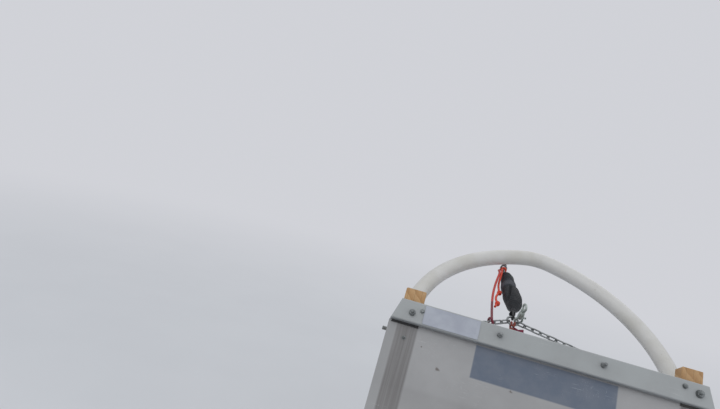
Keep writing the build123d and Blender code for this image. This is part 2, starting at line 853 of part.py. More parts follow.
def safety_cord():
    """Cord from the front link down to the chain's left leg, looped round both, with two knots."""
    pull = pull_plane()
    seat = bridle_plane() * link_plane(-1, cord_link)
    upper_loop = front_link_half() + (steel_wire + cord_diameter) / 2 + chain_gap
    lower_loop = link_end + (link_wire + cord_diameter) / 2 + chain_gap
    front = Vector(pull_length() - cord_hold, 0, 0)
    points = [front + Vector(0, upper_loop, 0)]
    points += [Vector(*point) for point in cord_points]
    points.append(pull.to_local_coords(seat.position) + Vector(0, 0, lower_loop))
    radii = route_radii(points)
    print("cord radii", [round(radius) for radius in radii])
    route = FilletPolyline(*points, radius=radii)
    cord = rod(route.edges(), RegularPolygon(cord_diameter / 2, 8))
    cord += Plane(origin=front, x_dir=(0, 0, 1), z_dir=(1, 0, 0)) * loop(upper_loop, cord_diameter)
    for index in cord_knots:
        before, knot, after = points[index : index + 3]
        band = Plane(origin=knot, z_dir=after - before) * RegularPolygon(knot_radius, 8)
        cord += extrude(band, knot_length / 2, both=True)
    return pull * cord + seat * Rot(0, 90, 0) * loop(lower_loop, cord_diameter)


def node(name, shape):
    """Write one sub-part, moved so that the origin is under the middle of the sled's box."""
    items = shape if isinstance(shape, list) else [shape]
    bodies = [solid for item in items for solid in item.solids()]
    export_step(Pos(0, -middle_y, 0) * Compound(children=bodies), "parts/" + name + ".step")


front_y = bow_frame().from_local_coords(Vector(0, bow_apex(), 0)).Y + bow_diameter / 2
middle_y = front_y / 2


def main():
    """Build every sub-part and write it to its file."""
    os.makedirs("parts", exist_ok=True)
    rail = side_rail()
    pairs = (
        ("beam", beams()),
        ("runner", runners()),
        ("shoe", shoes()),
        ("side_rail", both_sides(rail)),
        ("footboard", footboards()),
        ("tread", treads()),
    )
    for name, (left, right) in pairs:
        node(name + "_left", left)
        node(name + "_right", right)
    for name, side in (("left", -1), ("right", 1)):
        node("stanchions_" + name, stanchions(side))
    right_posts = posts(rail)
    node("posts_right", right_posts)
    node("posts_left", [mirror(post, about=Plane.YZ) for post in right_posts])
    bow = brush_bow()
    single = (
        ("bed_sheet", bed_sheet()),
        ("crosspiece", crosspiece()),
        ("packers", packers()),
        ("blank_plate", blank_plate()),
        ("backing_plate", backing_plate()),
        ("brush_bow", bow),
        ("cross_members", members()),
        ("bed_slats", slats()),
        ("driving_bow", driving_bow()),
        ("grip", grip()),
        ("brake_arms", brake_arms()),
        ("brake_plate", brake_plate()),
        ("brake_claws", claws()),
        ("brake_brackets", brackets()),
        ("brake_pins", pins()),
        ("brake_springs", springs()),
        ("bridle_eyes", bridle_eyes()),
        ("bridle_chain", bridle_chain()),
        ("bridle_ring", bridle_ring()),
        ("bridle_snap", bridle_snap()),
        ("ring_hitch", ring_hitch()),
        ("shock_sleeve", shock_sleeve()),
        ("rope_loops", rope_loops()),
        ("front_link", front_link()),
        ("bow_eye", bow_eye(bow)),
        ("safety_cord", safety_cord()),
    )
    for name, shape in single:
        node(name, shape)


main()
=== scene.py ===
"""Looks of a wooden touring dog sled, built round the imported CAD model.

The sled stands on a pale floor, seen from the passenger's place over its nose. Every length is in
metres in the model's own frame: X to the rider's right, Y forward, Z up, ground at Z = 0.
"""

import logging
from dataclasses import dataclass, field
from enum import Enum
from math import cos, pi, radians, sin
from typing import Any

import bpy
import numpy as np
from mathutils import Matrix, Vector


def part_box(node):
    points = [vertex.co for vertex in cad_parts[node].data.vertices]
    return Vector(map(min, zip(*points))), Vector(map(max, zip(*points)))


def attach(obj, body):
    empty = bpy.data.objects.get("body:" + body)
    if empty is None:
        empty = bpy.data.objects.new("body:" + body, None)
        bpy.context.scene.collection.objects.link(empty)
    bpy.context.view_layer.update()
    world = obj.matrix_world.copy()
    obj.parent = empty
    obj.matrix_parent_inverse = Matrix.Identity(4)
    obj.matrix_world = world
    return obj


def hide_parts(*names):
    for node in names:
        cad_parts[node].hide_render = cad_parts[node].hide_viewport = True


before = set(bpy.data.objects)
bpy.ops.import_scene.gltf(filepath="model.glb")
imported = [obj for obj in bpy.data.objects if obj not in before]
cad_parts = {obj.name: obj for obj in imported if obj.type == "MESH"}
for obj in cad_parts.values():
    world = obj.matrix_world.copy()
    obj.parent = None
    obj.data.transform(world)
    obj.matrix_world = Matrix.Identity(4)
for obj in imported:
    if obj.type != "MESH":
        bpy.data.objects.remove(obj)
log = logging.getLogger("dog_sled")

Pair = tuple[float, float]
Triple = tuple[float, float, float]
Colour = Triple
SLED = "sled"
RIGHT, FORWARD, UP = np.eye(3)


class Grain(Enum):
    """Axis of the model along which a piece's wood grain runs."""

    ACROSS = 0
    ALONG = 1
    UP = 2


# Small helpers for meshes


def unit(vector: np.ndarray) -> np.ndarray:
    """Vectors made one long, along the last axis."""
    return vector / np.linalg.norm(vector, axis=-1, keepdims=True)


def grid_faces(rows: int, columns: int, wrap_rows: bool = False, wrap_columns: bool = False) -> np.ndarray:
    """Quads of a grid of points, numbered row by row.

    Args:
        rows: Number of rows of points.
        columns: Number of points in a row.
        wrap_rows: Whether the last row joins the first.
        wrap_columns: Whether a row's last point joins its first.

    Returns:
        An array of four point numbers for each quad.
    """
    row = np.arange(rows if wrap_rows else rows - 1)[:, None]
    column = np.arange(columns if wrap_columns else columns - 1)[None, :]
    next_row = (row + 1) % rows
    next_column = (column + 1) % columns
    corners = (row * columns + column, row * columns + next_column,
               next_row * columns + next_column, next_row * columns + column)
    return np.stack(np.broadcast_arrays(*corners), axis=-1).reshape(-1, 4)


def new_object(name: str, data: Any) -> bpy.types.Object:
    """Object with the given data, linked to the scene.

    Args:
        name: Name of the object.
        data: Its mesh, camera or lamp.

    Returns:
        The new object.
    """
    made = bpy.data.objects.new(name, data)
    bpy.context.scene.collection.objects.link(made)
    return made


def mesh_piece(name: str, points: np.ndarray, faces: list[list[int]], smooth: bool = True) -> bpy.types.Object:
    """Put points and faces into a new object at the origin.

    Args:
        name: Name of the piece.
        points: Array of points, three numbers each.
        faces: Point numbers of each face, wound so that it faces outwards.
        smooth: Whether the faces are shaded smooth.

    Returns:
        The new object, linked to the scene.
    """
    mesh = bpy.data.meshes.new(name)
    mesh.from_pydata(points.reshape(-1, 3).tolist(), [], faces)
    mesh.polygons.foreach_set("use_smooth", np.full(len(mesh.polygons), smooth))
    mesh.validate()
    mesh.update()
    return new_object(name, mesh)


@dataclass
class Solid:
    """Closed shapes gathered into one mesh.

    Args:
        points: Blocks of points that have been added.
        faces: Faces that have been added, in numbers of the whole mesh.
        count: Number of points so far.
    """

    points: list[np.ndarray] = field(default_factory=list)
    faces: list[list[int]] = field(default_factory=list)
    count: int = 0

    def add(self, points: np.ndarray, faces: list[list[int]]) -> None:
        """Add one closed shape.

        Args:
            points: Its points, three numbers each.
            faces: Its faces, which count from its own first point.
        """
        self.points.append(points.reshape(-1, 3))
        self.faces += [[self.count + int(corner) for corner in face] for face in faces]
        self.count += points.size // 3

    def turned(self, origin: np.ndarray, axes: np.ndarray, profile: list[Pair],
               sides: int, twist: float = 0.0) -> None:
        """Add a shape turned round an axis.

        A point of the profile at height h and radius r goes to origin + h * axis + r * (cos a * side +
        sin a * other), for evenly spaced angles a. A flat disc closes each end.

        Args:
            origin: Foot of the axis.
            axes: Three unit vectors: side, other and axis, a right-handed set.
            profile: Heights and radii from the foot to the top.
            sides: Number of points round the axis.
            twist: First angle in radians.
        """
        angle = twist + 2 * pi * np.arange(sides) / sides
        around = np.cos(angle)[:, None] * axes[0] + np.sin(angle)[:, None] * axes[1]
        heights = np.array([h for h, _ in profile])[:, None, None]
        radii = np.array([r for _, r in profile])[:, None, None]
        points = origin + heights * axes[2] + radii * around[None]
        self.add(points, tube_faces(len(profile), sides, False))

    def tube(self, path: np.ndarray, radii: Any, sides: int, first: np.ndarray, closed: bool = False) -> None:
        """Add a tube along a path, whose arguments are those of tube_points."""
        self.add(tube_points(path, radii, sides, first, closed), tube_faces(len(path), sides, closed))

    def piece(self, name: str, smooth: bool = True) -> bpy.types.Object:
        """The gathered shapes as one object."""
        return mesh_piece(name, np.concatenate(self.points), self.faces, smooth)


def tube_faces(rows: int, sides: int, closed: bool) -> list[list[int]]:
    """Faces of a tube's rings of points, with flat ends unless its end joins its start.

    Args:
        rows: Number of rings.
        sides: Number of points in a ring.
        closed: Whether the last ring joins the first.

    Returns:
        The point numbers of each face.
    """
    faces = grid_faces(rows, sides, wrap_rows=closed, wrap_columns=True).tolist()
    if not closed:
        last = (rows - 1) * sides
        faces.append(list(range(sides))[::-1])
        faces.append(list(range(last, last + sides)))
    return faces


def tube_points(path: np.ndarray, radii: Any, sides: int, first: np.ndarray,
                closed: bool = False) -> np.ndarray:
    """Rings of points round a path.

    A point at angle a of a ring lies at path + radius * (cos a * side + sin a * other). The side vector is
    carried along the path without spin: each is the one before it, with the part along the path taken away.

    Args:
        path: Points of the centre line.
        radii: Radius at each point, or one for all.
        sides: Number of points round the tube.
        first: Wanted side vector at the first point.
        closed: Whether the path's end joins its start.

    Returns:
        An array of rings, of points in a ring, of three numbers.
    """
    if closed:
        along = unit(np.roll(path, -1, axis=0) - np.roll(path, 1, axis=0))
    else:
        along = unit(np.gradient(path, axis=0))
    side = np.zeros_like(path)
    carried = np.asarray(first, float)
    for index, direction in enumerate(along):
        carried = unit(carried - (carried @ direction) * direction)
        side[index] = carried
    other = np.cross(along, side)
    angle = 2 * pi * np.arange(sides) / sides
    across = np.cos(angle)[None, :, None] * side[:, None] + np.sin(angle)[None, :, None] * other[:, None]
    return path[:, None] + np.broadcast_to(radii, len(path))[:, None, None] * across


def distances(path: np.ndarray) -> np.ndarray:
    """Distance of each point of a path from its first one, along it."""
    return np.concatenate([[0.0], np.cumsum(np.linalg.norm(np.diff(path, axis=0), axis=1))])


def tube_piece(name: str, points: np.ndarray, path: np.ndarray, closed: bool = False) -> bpy.types.Object:
    """A tube as an object with a UV map: turns round it and metres along its path.

    Args:
        name: Name of the piece.
        points: Its rings of points.
        path: Its centre line, one point for each ring.
        closed: Whether its end joins its start.

    Returns:
        The new object.
    """
    piece = mesh_piece(name, points, tube_faces(len(points), points.shape[1], closed))
    write_tube_uv(piece.data, points.shape[1], distances(path))
    return piece


def tube(name: str, path: np.ndarray, radii: Any, sides: int, first: np.ndarray,
         closed: bool = False) -> bpy.types.Object:
    """A tube along a path as an object, whose arguments are those of tube_points."""
    return tube_piece(name, tube_points(path, radii, sides, first, closed), path, closed)


def arc(centre: Pair, radius: float, start: float, stop: float, count: int) -> np.ndarray:
    """Points of a flat arc, from one angle in radians to another."""
    angle = np.linspace(start, stop, count)
    return np.stack([centre[0] + radius * np.cos(angle), centre[1] + radius * np.sin(angle)], axis=-1)


def circle(radius: float, count: int, centre: Pair = (0.0, 0.0)) -> np.ndarray:
    """Points of a flat circle."""
    return arc(centre, radius, 0.0, 2 * pi, count + 1)[:-1]


def rounded(corners: np.ndarray, radii: tuple[float, ...], step: float) -> np.ndarray:
    """Straight runs through corners, joined by arcs that touch both runs.

    Args:
        corners: Points, the first and last of which are the ends.
        radii: Radius of the arc at each inner point.
        step: Distance of the points along an arc.

    Returns:
        Points of the rounded line.
    """
    line = [corners[:1]]
    for before, corner, after, radius in zip(corners, corners[1:], corners[2:], radii):
        arriving, leaving = unit(corner - before), unit(after - corner)
        turn = float(np.arccos(np.clip(arriving @ leaving, -1, 1)))
        inward = unit(leaving - (leaving @ arriving) * arriving)
        angle = np.linspace(0, turn, max(3, int(radius * turn / step) + 1))[:, None]
        start = corner - radius * np.tan(turn / 2) * arriving
        line.append(start + radius * (np.sin(angle) * arriving + (1 - np.cos(angle)) * inward))
    return np.concatenate([*line, corners[-1:]])


def oval(half: float, radius: float, arc_points: int) -> np.ndarray:
    """Flat closed line of two half circles whose centres lie at half on both sides of the middle."""
    right = arc((half, 0), radius, -pi / 2, pi / 2, arc_points)
    return np.concatenate([right, -right])


def onto_plane(ring: np.ndarray, along: np.ndarray, point: np.ndarray, normal: np.ndarray) -> np.ndarray:
    """Points moved along a direction onto a plane."""
    return ring + (((point - ring) @ normal) / (along @ normal))[:, None] * along


def write_tube_uv(mesh: bpy.types.Mesh, sides: int, distance: np.ndarray) -> None:
    """Write a tube's UV map: turns round it and metres along it.

    Args:
        mesh: The tube's mesh, its points numbered ring by ring.
        sides: Number of points in a ring.
        distance: Distance of each ring along the path.
    """
    layer = mesh.uv_layers.new(name="UVMap")
    corner = np.zeros(len(mesh.loops), int)
    mesh.loops.foreach_get("vertex_index", corner)
    total = np.zeros(len(mesh.polygons), int)
    mesh.polygons.foreach_get("loop_total", total)
    owner = np.repeat(np.arange(len(total)), total)
    turn = (corner % sides) / sides
    wraps = np.zeros(len(total), bool)
    np.logical_or.at(wraps, owner, corner % sides == sides - 1)
    starts = np.zeros(len(total), bool)
    np.logical_or.at(starts, owner, corner % sides == 0)
    turn = np.where((wraps & starts)[owner] & (corner % sides == 0) & (total[owner] == 4), 1.0, turn)
    uv = np.stack([turn, distance[corner // sides]], axis=-1)
    layer.data.foreach_set("uv", uv.ravel().astype(np.float32))


# Short calls for shader nodes


@dataclass
class Wiring:
    """Short calls for adding and joining the nodes of one tree.

    Args:
        tree: The shader tree of a material or of a node group.
    """

    tree: bpy.types.NodeTree

    def node(self, kind: str, inputs: dict[Any, Any] | None = None, **settings: Any) -> bpy.types.Node:
        """Add a node.

        Args:
            kind: Blender's name for the node's type.
            inputs: Values or sockets for its inputs, by their names or numbers.
            settings: Values for its own properties.

        Returns:
            The new node.
        """
        made = self.tree.nodes.new(kind)
        for key, value in settings.items():
            setattr(made, key, value)
        self.feed(made.inputs, inputs or {})
        return made

    def feed(self, sockets: Any, values: dict[Any, Any]) -> None:
        """Give sockets their values.

        Args:
            sockets: Inputs of a node.
            values: Numbers, colours or other nodes' sockets, by the inputs' names or numbers.
        """
        for key, value in values.items():
            if isinstance(value, bpy.types.NodeSocket):
                self.tree.links.new(value, sockets[key])
            else:
                sockets[key].default_value = value

    def maths(self, operation: str, *values: Any) -> bpy.types.NodeSocket:
        """Result of a Math node, whose inputs are numbers or sockets."""
        return self.node("ShaderNodeMath", dict(enumerate(values)), operation=operation).outputs[0]

    def times(self, first: Any, second: Any) -> bpy.types.NodeSocket:
        """Product of two numbers or sockets."""
        return self.maths("MULTIPLY", first, second)

    def below(self, value: Any, high: float, soft: float) -> bpy.types.NodeSocket:
        """Mask that is one below a value, with a soft edge."""
        return self.ramp(value, high - soft, high + soft, 1.0, 0.0)

    def inside(self, value: Any, low: float, high: float, soft: float) -> bpy.types.NodeSocket:
        """Mask that is one between two values, with soft edges."""
        return self.times(self.ramp(value, low - soft, low + soft), self.below(value, high, soft))

    def mix(self, share: Any, first: Any, second: Any, blend: str = "MIX") -> bpy.types.NodeSocket:
        """Colour between two others, by a share from 0 for the first to 1 for the second."""
        return self.node("ShaderNodeMix", {0: share, 6: opaque(first), 7: opaque(second)},
                         data_type="RGBA", blend_type=blend).outputs[2]

    def ramp(self, value: Any, low: float, high: float, to_low: float = 0.0, to_high: float = 1.0,
             smooth: bool = True) -> bpy.types.NodeSocket:
        """Value carried from one range to another and held inside it.

        Args:
            value: The value.
            low: Start of its range.
            high: End of its range.
            to_low: What it becomes at the start.
            to_high: What it becomes at the end.
            smooth: Whether it leaves and arrives gently.

        Returns:
            The new value.
        """
        return self.node("ShaderNodeMapRange", {0: value, 1: low, 2: high, 3: to_low, 4: to_high},
                         interpolation_type="SMOOTHSTEP" if smooth else "LINEAR").outputs[0]

    def noise(self, place: Any, scale: Any, detail: float = 3.0, rough: float = 0.55) -> bpy.types.NodeSocket:
        """Value of a Noise texture, about 0.5 on average."""
        return self.node("ShaderNodeTexNoise", {"Vector": place, "Scale": scale, "Detail": detail,
                                                "Roughness": rough}).outputs[0]

    def mapped(self, place: Any, scale: Triple = (1, 1, 1),
               shift: Triple = (0, 0, 0), turn: Triple = (0, 0, 0)) -> Any:
        """Coordinates moved, turned and scaled by a Mapping node."""
        return self.node("ShaderNodeMapping", {"Vector": place, "Location": shift, "Rotation": turn,
                                               "Scale": scale}).outputs[0]

    def bump(self, height: Any, strength: float, distance: float) -> bpy.types.NodeSocket:
        """Normal from a height."""
        return self.node("ShaderNodeBump", {"Height": height, "Strength": strength,
                                            "Distance": distance}).outputs[0]

    def parts(self, vector: Any) -> Any:
        """The three numbers of a vector, as outputs 0 to 2."""
        return self.node("ShaderNodeSeparateXYZ", {0: vector}).outputs


def empty_tree(owner: Any) -> Wiring:
    """Start a material's or a world's shader from nothing.

    Args:
        owner: The material or world.

    Returns:
        The wiring of its tree, which has no node left.
    """
    owner.use_nodes = True
    owner.node_tree.nodes.clear()
    return Wiring(owner.node_tree)


def opaque(colour: Any) -> Any:
    """A colour of three numbers with an alpha of one, or a socket as it is."""
    return colour if isinstance(colour, bpy.types.NodeSocket) else (*colour[:3], 1.0)


def object_place(wiring: Wiring) -> bpy.types.NodeSocket:
    """Object coordinates, which are the model's own metres."""
    return wiring.node("ShaderNodeTexCoord").outputs["Object"]


def surface_uv(wiring: Wiring) -> bpy.types.NodeSocket:
    """The piece's own UV map."""
    return wiring.node("ShaderNodeUVMap", uv_map="UVMap").outputs[0]


_groups: dict[str, bpy.types.NodeTree] = {}


def new_group(name: str, inputs: dict[str, str], outputs: dict[str, str]) -> tuple[Wiring, Any, Any]:
    """Start a shader node group.

    Args:
        name: Name of the group.
        inputs: Socket types of its inputs by their names.
        outputs: Socket types of its outputs by their names.

    Returns:
        The group's wiring, the outputs of its input node and the inputs of its output node.
    """
    tree = bpy.data.node_groups.new(name, "ShaderNodeTree")
    for way, sockets in (("INPUT", inputs), ("OUTPUT", outputs)):
        for label, kind in sockets.items():
            tree.interface.new_socket(label, in_out=way, socket_type=kind)
    _groups[name] = tree
    source = tree.nodes.new("NodeGroupInput")
    result = tree.nodes.new("NodeGroupOutput")
    return Wiring(tree), source.outputs, result.inputs


def place_group(wiring: Wiring, name: str, inputs: dict[str, Any]) -> Any:
    """Put a node group into a material and return its outputs."""
    return wiring.node("ShaderNodeGroup", inputs, node_tree=_groups[name]).outputs


FLOAT = "NodeSocketFloat"
COLOUR = "NodeSocketColor"
VECTOR = "NodeSocketVector"


def build_grain_group() -> None:
    """Wood: long fibres, growth bands and pores along the second axis of the given coordinates."""
    wiring, given, result = new_group(
        "wood_grain",
        {"Place": VECTOR, "Light": COLOUR, "Dark": COLOUR, "Bands": FLOAT, "Fibres": FLOAT},
        {"Color": COLOUR, "Height": FLOAT, "Mask": FLOAT},
    )
    drift = wiring.noise(wiring.mapped(given["Place"], (6, 1.3, 6)), 1.0, 2.0)
    stretched = wiring.mapped(given["Place"], (1, 0.035, 1))
    waver = wiring.node("ShaderNodeVectorMath", {0: stretched, 1: (0.02, 0.0, 0.02)}, operation="ADD")
    bands = wiring.node("ShaderNodeTexWave", {
        "Vector": waver.outputs[0], "Scale": given["Bands"], "Distortion": 3.2, "Detail": 2.0,
        "Detail Scale": 1.4, "Detail Roughness": 0.6},
        wave_type="BANDS", bands_direction="DIAGONAL", wave_profile="SAW")
    fibres = wiring.noise(wiring.mapped(given["Place"], (420, 9, 420)), 1.0, 4.0, 0.65)
    pores = wiring.ramp(wiring.noise(wiring.mapped(given["Place"], (900, 30, 900)), 1.0, 1.0), 0.36, 0.27)
    shade = wiring.maths("MULTIPLY_ADD", bands.outputs[1], 0.55, wiring.times(fibres, given["Fibres"]))
    shade = wiring.maths("ADD", shade, wiring.times(wiring.maths("SUBTRACT", drift, 0.5), 0.5))
    mask = wiring.ramp(shade, 0.15, 0.95)
    colour = wiring.mix(mask, given["Dark"], given["Light"])
    colour = wiring.mix(wiring.times(pores, 0.35), colour, given["Dark"], "MULTIPLY")
    height = wiring.maths("SUBTRACT", fibres, wiring.times(pores, 0.6))
    wiring.feed(result, {"Color": colour, "Mask": mask, "Height": height})


def build_scuff_group() -> None:
    """Scuffs and fine scratches: a mask and a height from crossed, stretched noises."""
    wiring, given, result = new_group(
        "scuffs", {"Place": VECTOR, "Amount": FLOAT}, {"Mask": FLOAT, "Height": FLOAT})
    lines = []
    for scale, turn in (((900, 26, 300), 0.5), ((34, 800, 260), -0.35)):
        value = wiring.noise(wiring.mapped(given["Place"], scale, turn=(0, 0, turn)), 1.0, 2.0)
        lines.append(wiring.ramp(value, 0.62, 0.72))
    patches = wiring.ramp(wiring.noise(given["Place"], 14.0, 4.0, 0.7), 0.48, 0.68)
    both = wiring.maths("MAXIMUM", *lines)
    mask = wiring.times(wiring.times(both, patches), given["Amount"])
    wiring.feed(result, {"Mask": mask, "Height": wiring.times(mask, -1.0)})


def build_mottle_group() -> None:
    """Mottling: a colour that wanders between two others in patches, and the patches' mask."""
    wiring, given, result = new_group(
        "mottle",
        {"Place": VECTOR, "Color": COLOUR, "Other": COLOUR, "Scale": FLOAT},
        {"Color": COLOUR, "Mask": FLOAT},
    )
    mask = wiring.ramp(wiring.noise(given["Place"], given["Scale"], 5.0, 0.6), 0.35, 0.68)
    wiring.feed(result, {"Color": wiring.mix(mask, given["Color"], given["Other"]), "Mask": mask})


def build_weave_group() -> None:
    """Plaited cover of a cord, from U round it and V along it in metres, with painted shade in the gaps between
    strands.
    """
    wiring, given, result = new_group(
        "plait",
        {"UV": VECTOR, "Color": COLOUR, "Other": COLOUR, "Strands": FLOAT, "Pitch": FLOAT},
        {"Color": COLOUR, "Height": FLOAT},
    )
    parts = wiring.parts(given["UV"])
    around = wiring.times(parts[0], wiring.times(given["Strands"], pi))
    along = wiring.times(wiring.maths("DIVIDE", parts[1], given["Pitch"]), pi)
    first = wiring.maths("ABSOLUTE", wiring.maths("SINE", wiring.maths("ADD", around, along)))
    second = wiring.maths("ABSOLUTE", wiring.maths("SINE", wiring.maths("SUBTRACT", around, along)))
    height = wiring.times(first, second)
    over = wiring.ramp(wiring.maths("SUBTRACT", first, second), -0.2, 0.2)
    colour = wiring.mix(over, given["Color"], given["Other"])
    # Painted shade: the low gaps between the strands are darkened towards black.
    colour = wiring.mix(wiring.ramp(height, 0.0, 0.5, 0.55, 0.0), colour, (0.0, 0.0, 0.0))
    wiring.feed(result, {"Color": colour, "Height": height})


# Finishes


@dataclass(frozen=True)
class Finish:
    """A material that is built once.

    Args:
        name: Name of the material.
    """

    name: str

    def material(self) -> bpy.types.Material:
        """The material, made on its first use.

        Returns:
            Blender's material.
        """
        label = f"finish_{self.name}"
        found = bpy.data.materials.get(label)
        if found is not None:
            return found
        made = bpy.data.materials.new(label)
        wiring = empty_tree(made)
        shader = wiring.node("ShaderNodeBsdfPrincipled")
        output = wiring.node("ShaderNodeOutputMaterial")
        made.node_tree.links.new(shader.outputs[0], output.inputs[0])
        self.wire(wiring, shader.inputs)
        return made

    def wire(self, wiring: Wiring, shader: Any) -> None:
        """Join the finish's nodes to the shader's inputs.

        Args:
            wiring: Wiring of the material's tree.
            shader: Inputs of its shader.
        """
        raise NotImplementedError

    def dress(self, *pieces: bpy.types.Object) -> None:
        """Give pieces this finish as their only material.

        Args:
            pieces: The pieces.
        """
        for piece in pieces:
            piece.data.materials.clear()
            piece.data.materials.append(self.material())

    def dress_nodes(self, *names: str) -> None:
        """Give CAD nodes this finish, by their names."""
        self.dress(*[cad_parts[name] for name in names])
        log.info("%s on %s", self.name, ", ".join(names))


def settle(piece: bpy.types.Object, finish: Finish, node: str | None, sharp: float = 40.0) -> None:
    """Dress a piece and let it ride on the sled, in a CAD node's place if one is named.

    Args:
        piece: The piece.
        finish: Its finish.
        node: CAD node whose place it takes.
        sharp: Angle in degrees past which its edges stay hard.
    """
    piece.data.set_sharp_from_angle(angle=radians(sharp))
    finish.dress(piece)
    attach(piece, SLED)
    if node:
        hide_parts(node)
    log.info("%s has %d faces", piece.name, len(piece.data.polygons))


@dataclass(frozen=True)
class WoodFinish(Finish):
    """Oiled, worn hardwood.

    Args:
        name: Name of the material.
        grain: Axis along which the grain runs.
        light: Colour of the early wood.
        dark: Colour of the late wood.
        lamination: Thickness of glued layers, or 0 for solid wood.
        weathered: Share of the greyed patches.
        rod: Radius of a bent rod whose grain follows its UV map, or 0.
    """

    grain: Grain = Grain.ALONG
    light: Colour = (0.50, 0.33, 0.17)
    dark: Colour = (0.27, 0.15, 0.065)
    lamination: float = 0.0
    weathered: float = 0.35
    rod: float = 0.0

    def wire(self, wiring: Wiring, shader: Any) -> None:
        """Grain turned to the piece's axis, glue lines, greyed patches and a thin oil sheen.

        Args:
            wiring: Wiring of the material's tree.
            shader: Inputs of its shader.
        """
        place = object_place(wiring)
        turns = {Grain.ACROSS: (0, 0, pi / 2), Grain.ALONG: (0, 0, 0), Grain.UP: (pi / 2, 0, 0)}
        turned = self.along_rod(wiring) if self.rod else wiring.mapped(place, turn=turns[self.grain])
        grain = place_group(wiring, "wood_grain", {
            "Place": turned, "Light": opaque(self.light), "Dark": opaque(self.dark), "Bands": 26.0,
            "Fibres": 0.55})
        grey = wiring.ramp(wiring.noise(place, 7.0, 4.0, 0.65), 0.46, 0.72, 0.0, self.weathered)
        colour = wiring.mix(grey, grain["Color"], (0.33, 0.29, 0.25))
        if self.lamination:
            layer = wiring.maths("FRACT", wiring.maths("DIVIDE", wiring.parts(place)[0], self.lamination))
            edge = wiring.maths("ABSOLUTE", wiring.maths("SUBTRACT", layer, 0.5))
            glue = wiring.ramp(edge, 0.475, 0.495, 0.0, 0.7)
            colour = wiring.mix(glue, colour, (0.12, 0.07, 0.035))
        scuffs = place_group(wiring, "scuffs", {"Place": place, "Amount": 0.5})
        wiring.feed(shader, {
            "Base Color": wiring.mix(scuffs["Mask"], colour, (0.58, 0.46, 0.32)),
            "Roughness": wiring.ramp(grain["Mask"], 0.0, 1.0, 0.62, 0.46, smooth=False),
            "Normal": wiring.bump(wiring.maths("ADD", grain["Height"], scuffs["Height"]), 0.35, 0.0006)})

    def along_rod(self, wiring: Wiring) -> bpy.types.NodeSocket:
        """Place in a rod laid out straight, as x = r * cos(2 pi U), y = V and z = r * sin(2 pi U).

        Args:
            wiring: Wiring of the material's tree.

        Returns:
            The place.
        """
        parts = wiring.parts(surface_uv(wiring))
        turn = wiring.times(parts[0], 2 * pi)
        side = wiring.times(wiring.maths("COSINE", turn), self.rod)
        other = wiring.times(wiring.maths("SINE", turn), self.rod)
        return wiring.node("ShaderNodeCombineXYZ", {0: side, 1: parts[1], 2: other}).outputs[0]


@dataclass(frozen=True)
class PlasticFinish(Finish):
    """Solid sheet or rod plastic, slightly marked.

    Args:
        name: Name of the material.
        base: Its own colour.
        tint: Colour to which it wanders in patches.
        rough: Roughness.
        scuffed: Amount of scratches.
        scratch: Colour of the scratches.
    """

    base: Colour = (0.62, 0.63, 0.63)
    tint: Colour = (0.56, 0.56, 0.54)
    rough: float = 0.42
    scuffed: float = 0.5
    scratch: Colour = (0.75, 0.76, 0.77)

    def wire(self, wiring: Wiring, shader: Any) -> None:
        """Mottled body colour, fine scratches and an orange-peel bump.

        Args:
            wiring: Wiring of the material's tree.
            shader: Inputs of its shader.
        """
        place = object_place(wiring)
        body = place_group(wiring, "mottle", {
            "Place": place, "Color": opaque(self.base), "Other": opaque(self.tint), "Scale": 11.0})
        scuffs = place_group(wiring, "scuffs", {"Place": place, "Amount": self.scuffed})
        peel = wiring.times(wiring.noise(place, 900.0, 2.0), 0.15)
        wiring.feed(shader, {
            "Base Color": wiring.mix(scuffs["Mask"], body["Color"], self.scratch),
            "Roughness": wiring.maths("MULTIPLY_ADD", scuffs["Mask"], 0.25, self.rough),
            "Normal": wiring.bump(wiring.maths("ADD", peel, scuffs["Height"]), 0.25, 0.0003)})


@dataclass(frozen=True)
class MetalFinish(Finish):
    """Galvanised or plated steel.

    Args:
        name: Name of the material.
        base: Colour of the plating.
        dull: Colour of the duller grains and dirt.
        rough: Roughness.
    """

    base: Colour = (0.40, 0.41, 0.42)
    dull: Colour = (0.20, 0.20, 0.21)
    rough: float = 0.38

    def wire(self, wiring: Wiring, shader: Any) -> None:
        """Spangled plating, with dull patches that are rougher.

        Args:
            wiring: Wiring of the material's tree.
            shader: Inputs of its shader.
        """
        place = object_place(wiring)
        spangle = wiring.node("ShaderNodeTexVoronoi", {"Vector": place, "Scale": 260.0}).outputs["Color"]
        grey = wiring.node("ShaderNodeRGBToBW", {0: spangle}).outputs[0]
        patch = wiring.ramp(wiring.noise(place, 60.0, 4.0, 0.65), 0.4, 0.66)
        colour = wiring.mix(wiring.times(grey, 0.35), self.base, self.dull)
        wiring.feed(shader, {
            "Base Color": wiring.mix(wiring.times(patch, 0.6), colour, self.dull),
            "Metallic": 0.9,
            "Roughness": wiring.ramp(patch, 0.0, 1.0, self.rough, self.rough + 0.22, smooth=False),
            "Normal": wiring.bump(wiring.maths("ADD", grey, patch), 0.12, 0.0002)})


@dataclass(frozen=True)
class RubberFinish(Finish):
    """Black rubber or foam.

    Args:
        name: Name of the material.
        base: Its own colour.
        pore: Size of its surface pattern, as a scale.
    """

    base: Colour = (0.022, 0.022, 0.024)
    pore: float = 700.0

    def wire(self, wiring: Wiring, shader: Any) -> None:
        """Near black, dusty in patches, with a pored bump.

        Args:
            wiring: Wiring of the material's tree.
            shader: Inputs of its shader.
        """
        place = object_place(wiring)
        body = place_group(wiring, "mottle", {
            "Place": place, "Color": opaque(self.base), "Other": (0.06, 0.058, 0.055, 1.0), "Scale": 24.0})
        wiring.feed(shader, {
            "Base Color": body["Color"],
            "Roughness": wiring.ramp(body["Mask"], 0.0, 1.0, 0.62, 0.8, smooth=False),
            "Normal": wiring.bump(wiring.noise(place, self.pore, 3.0), 0.4, 0.0005)})


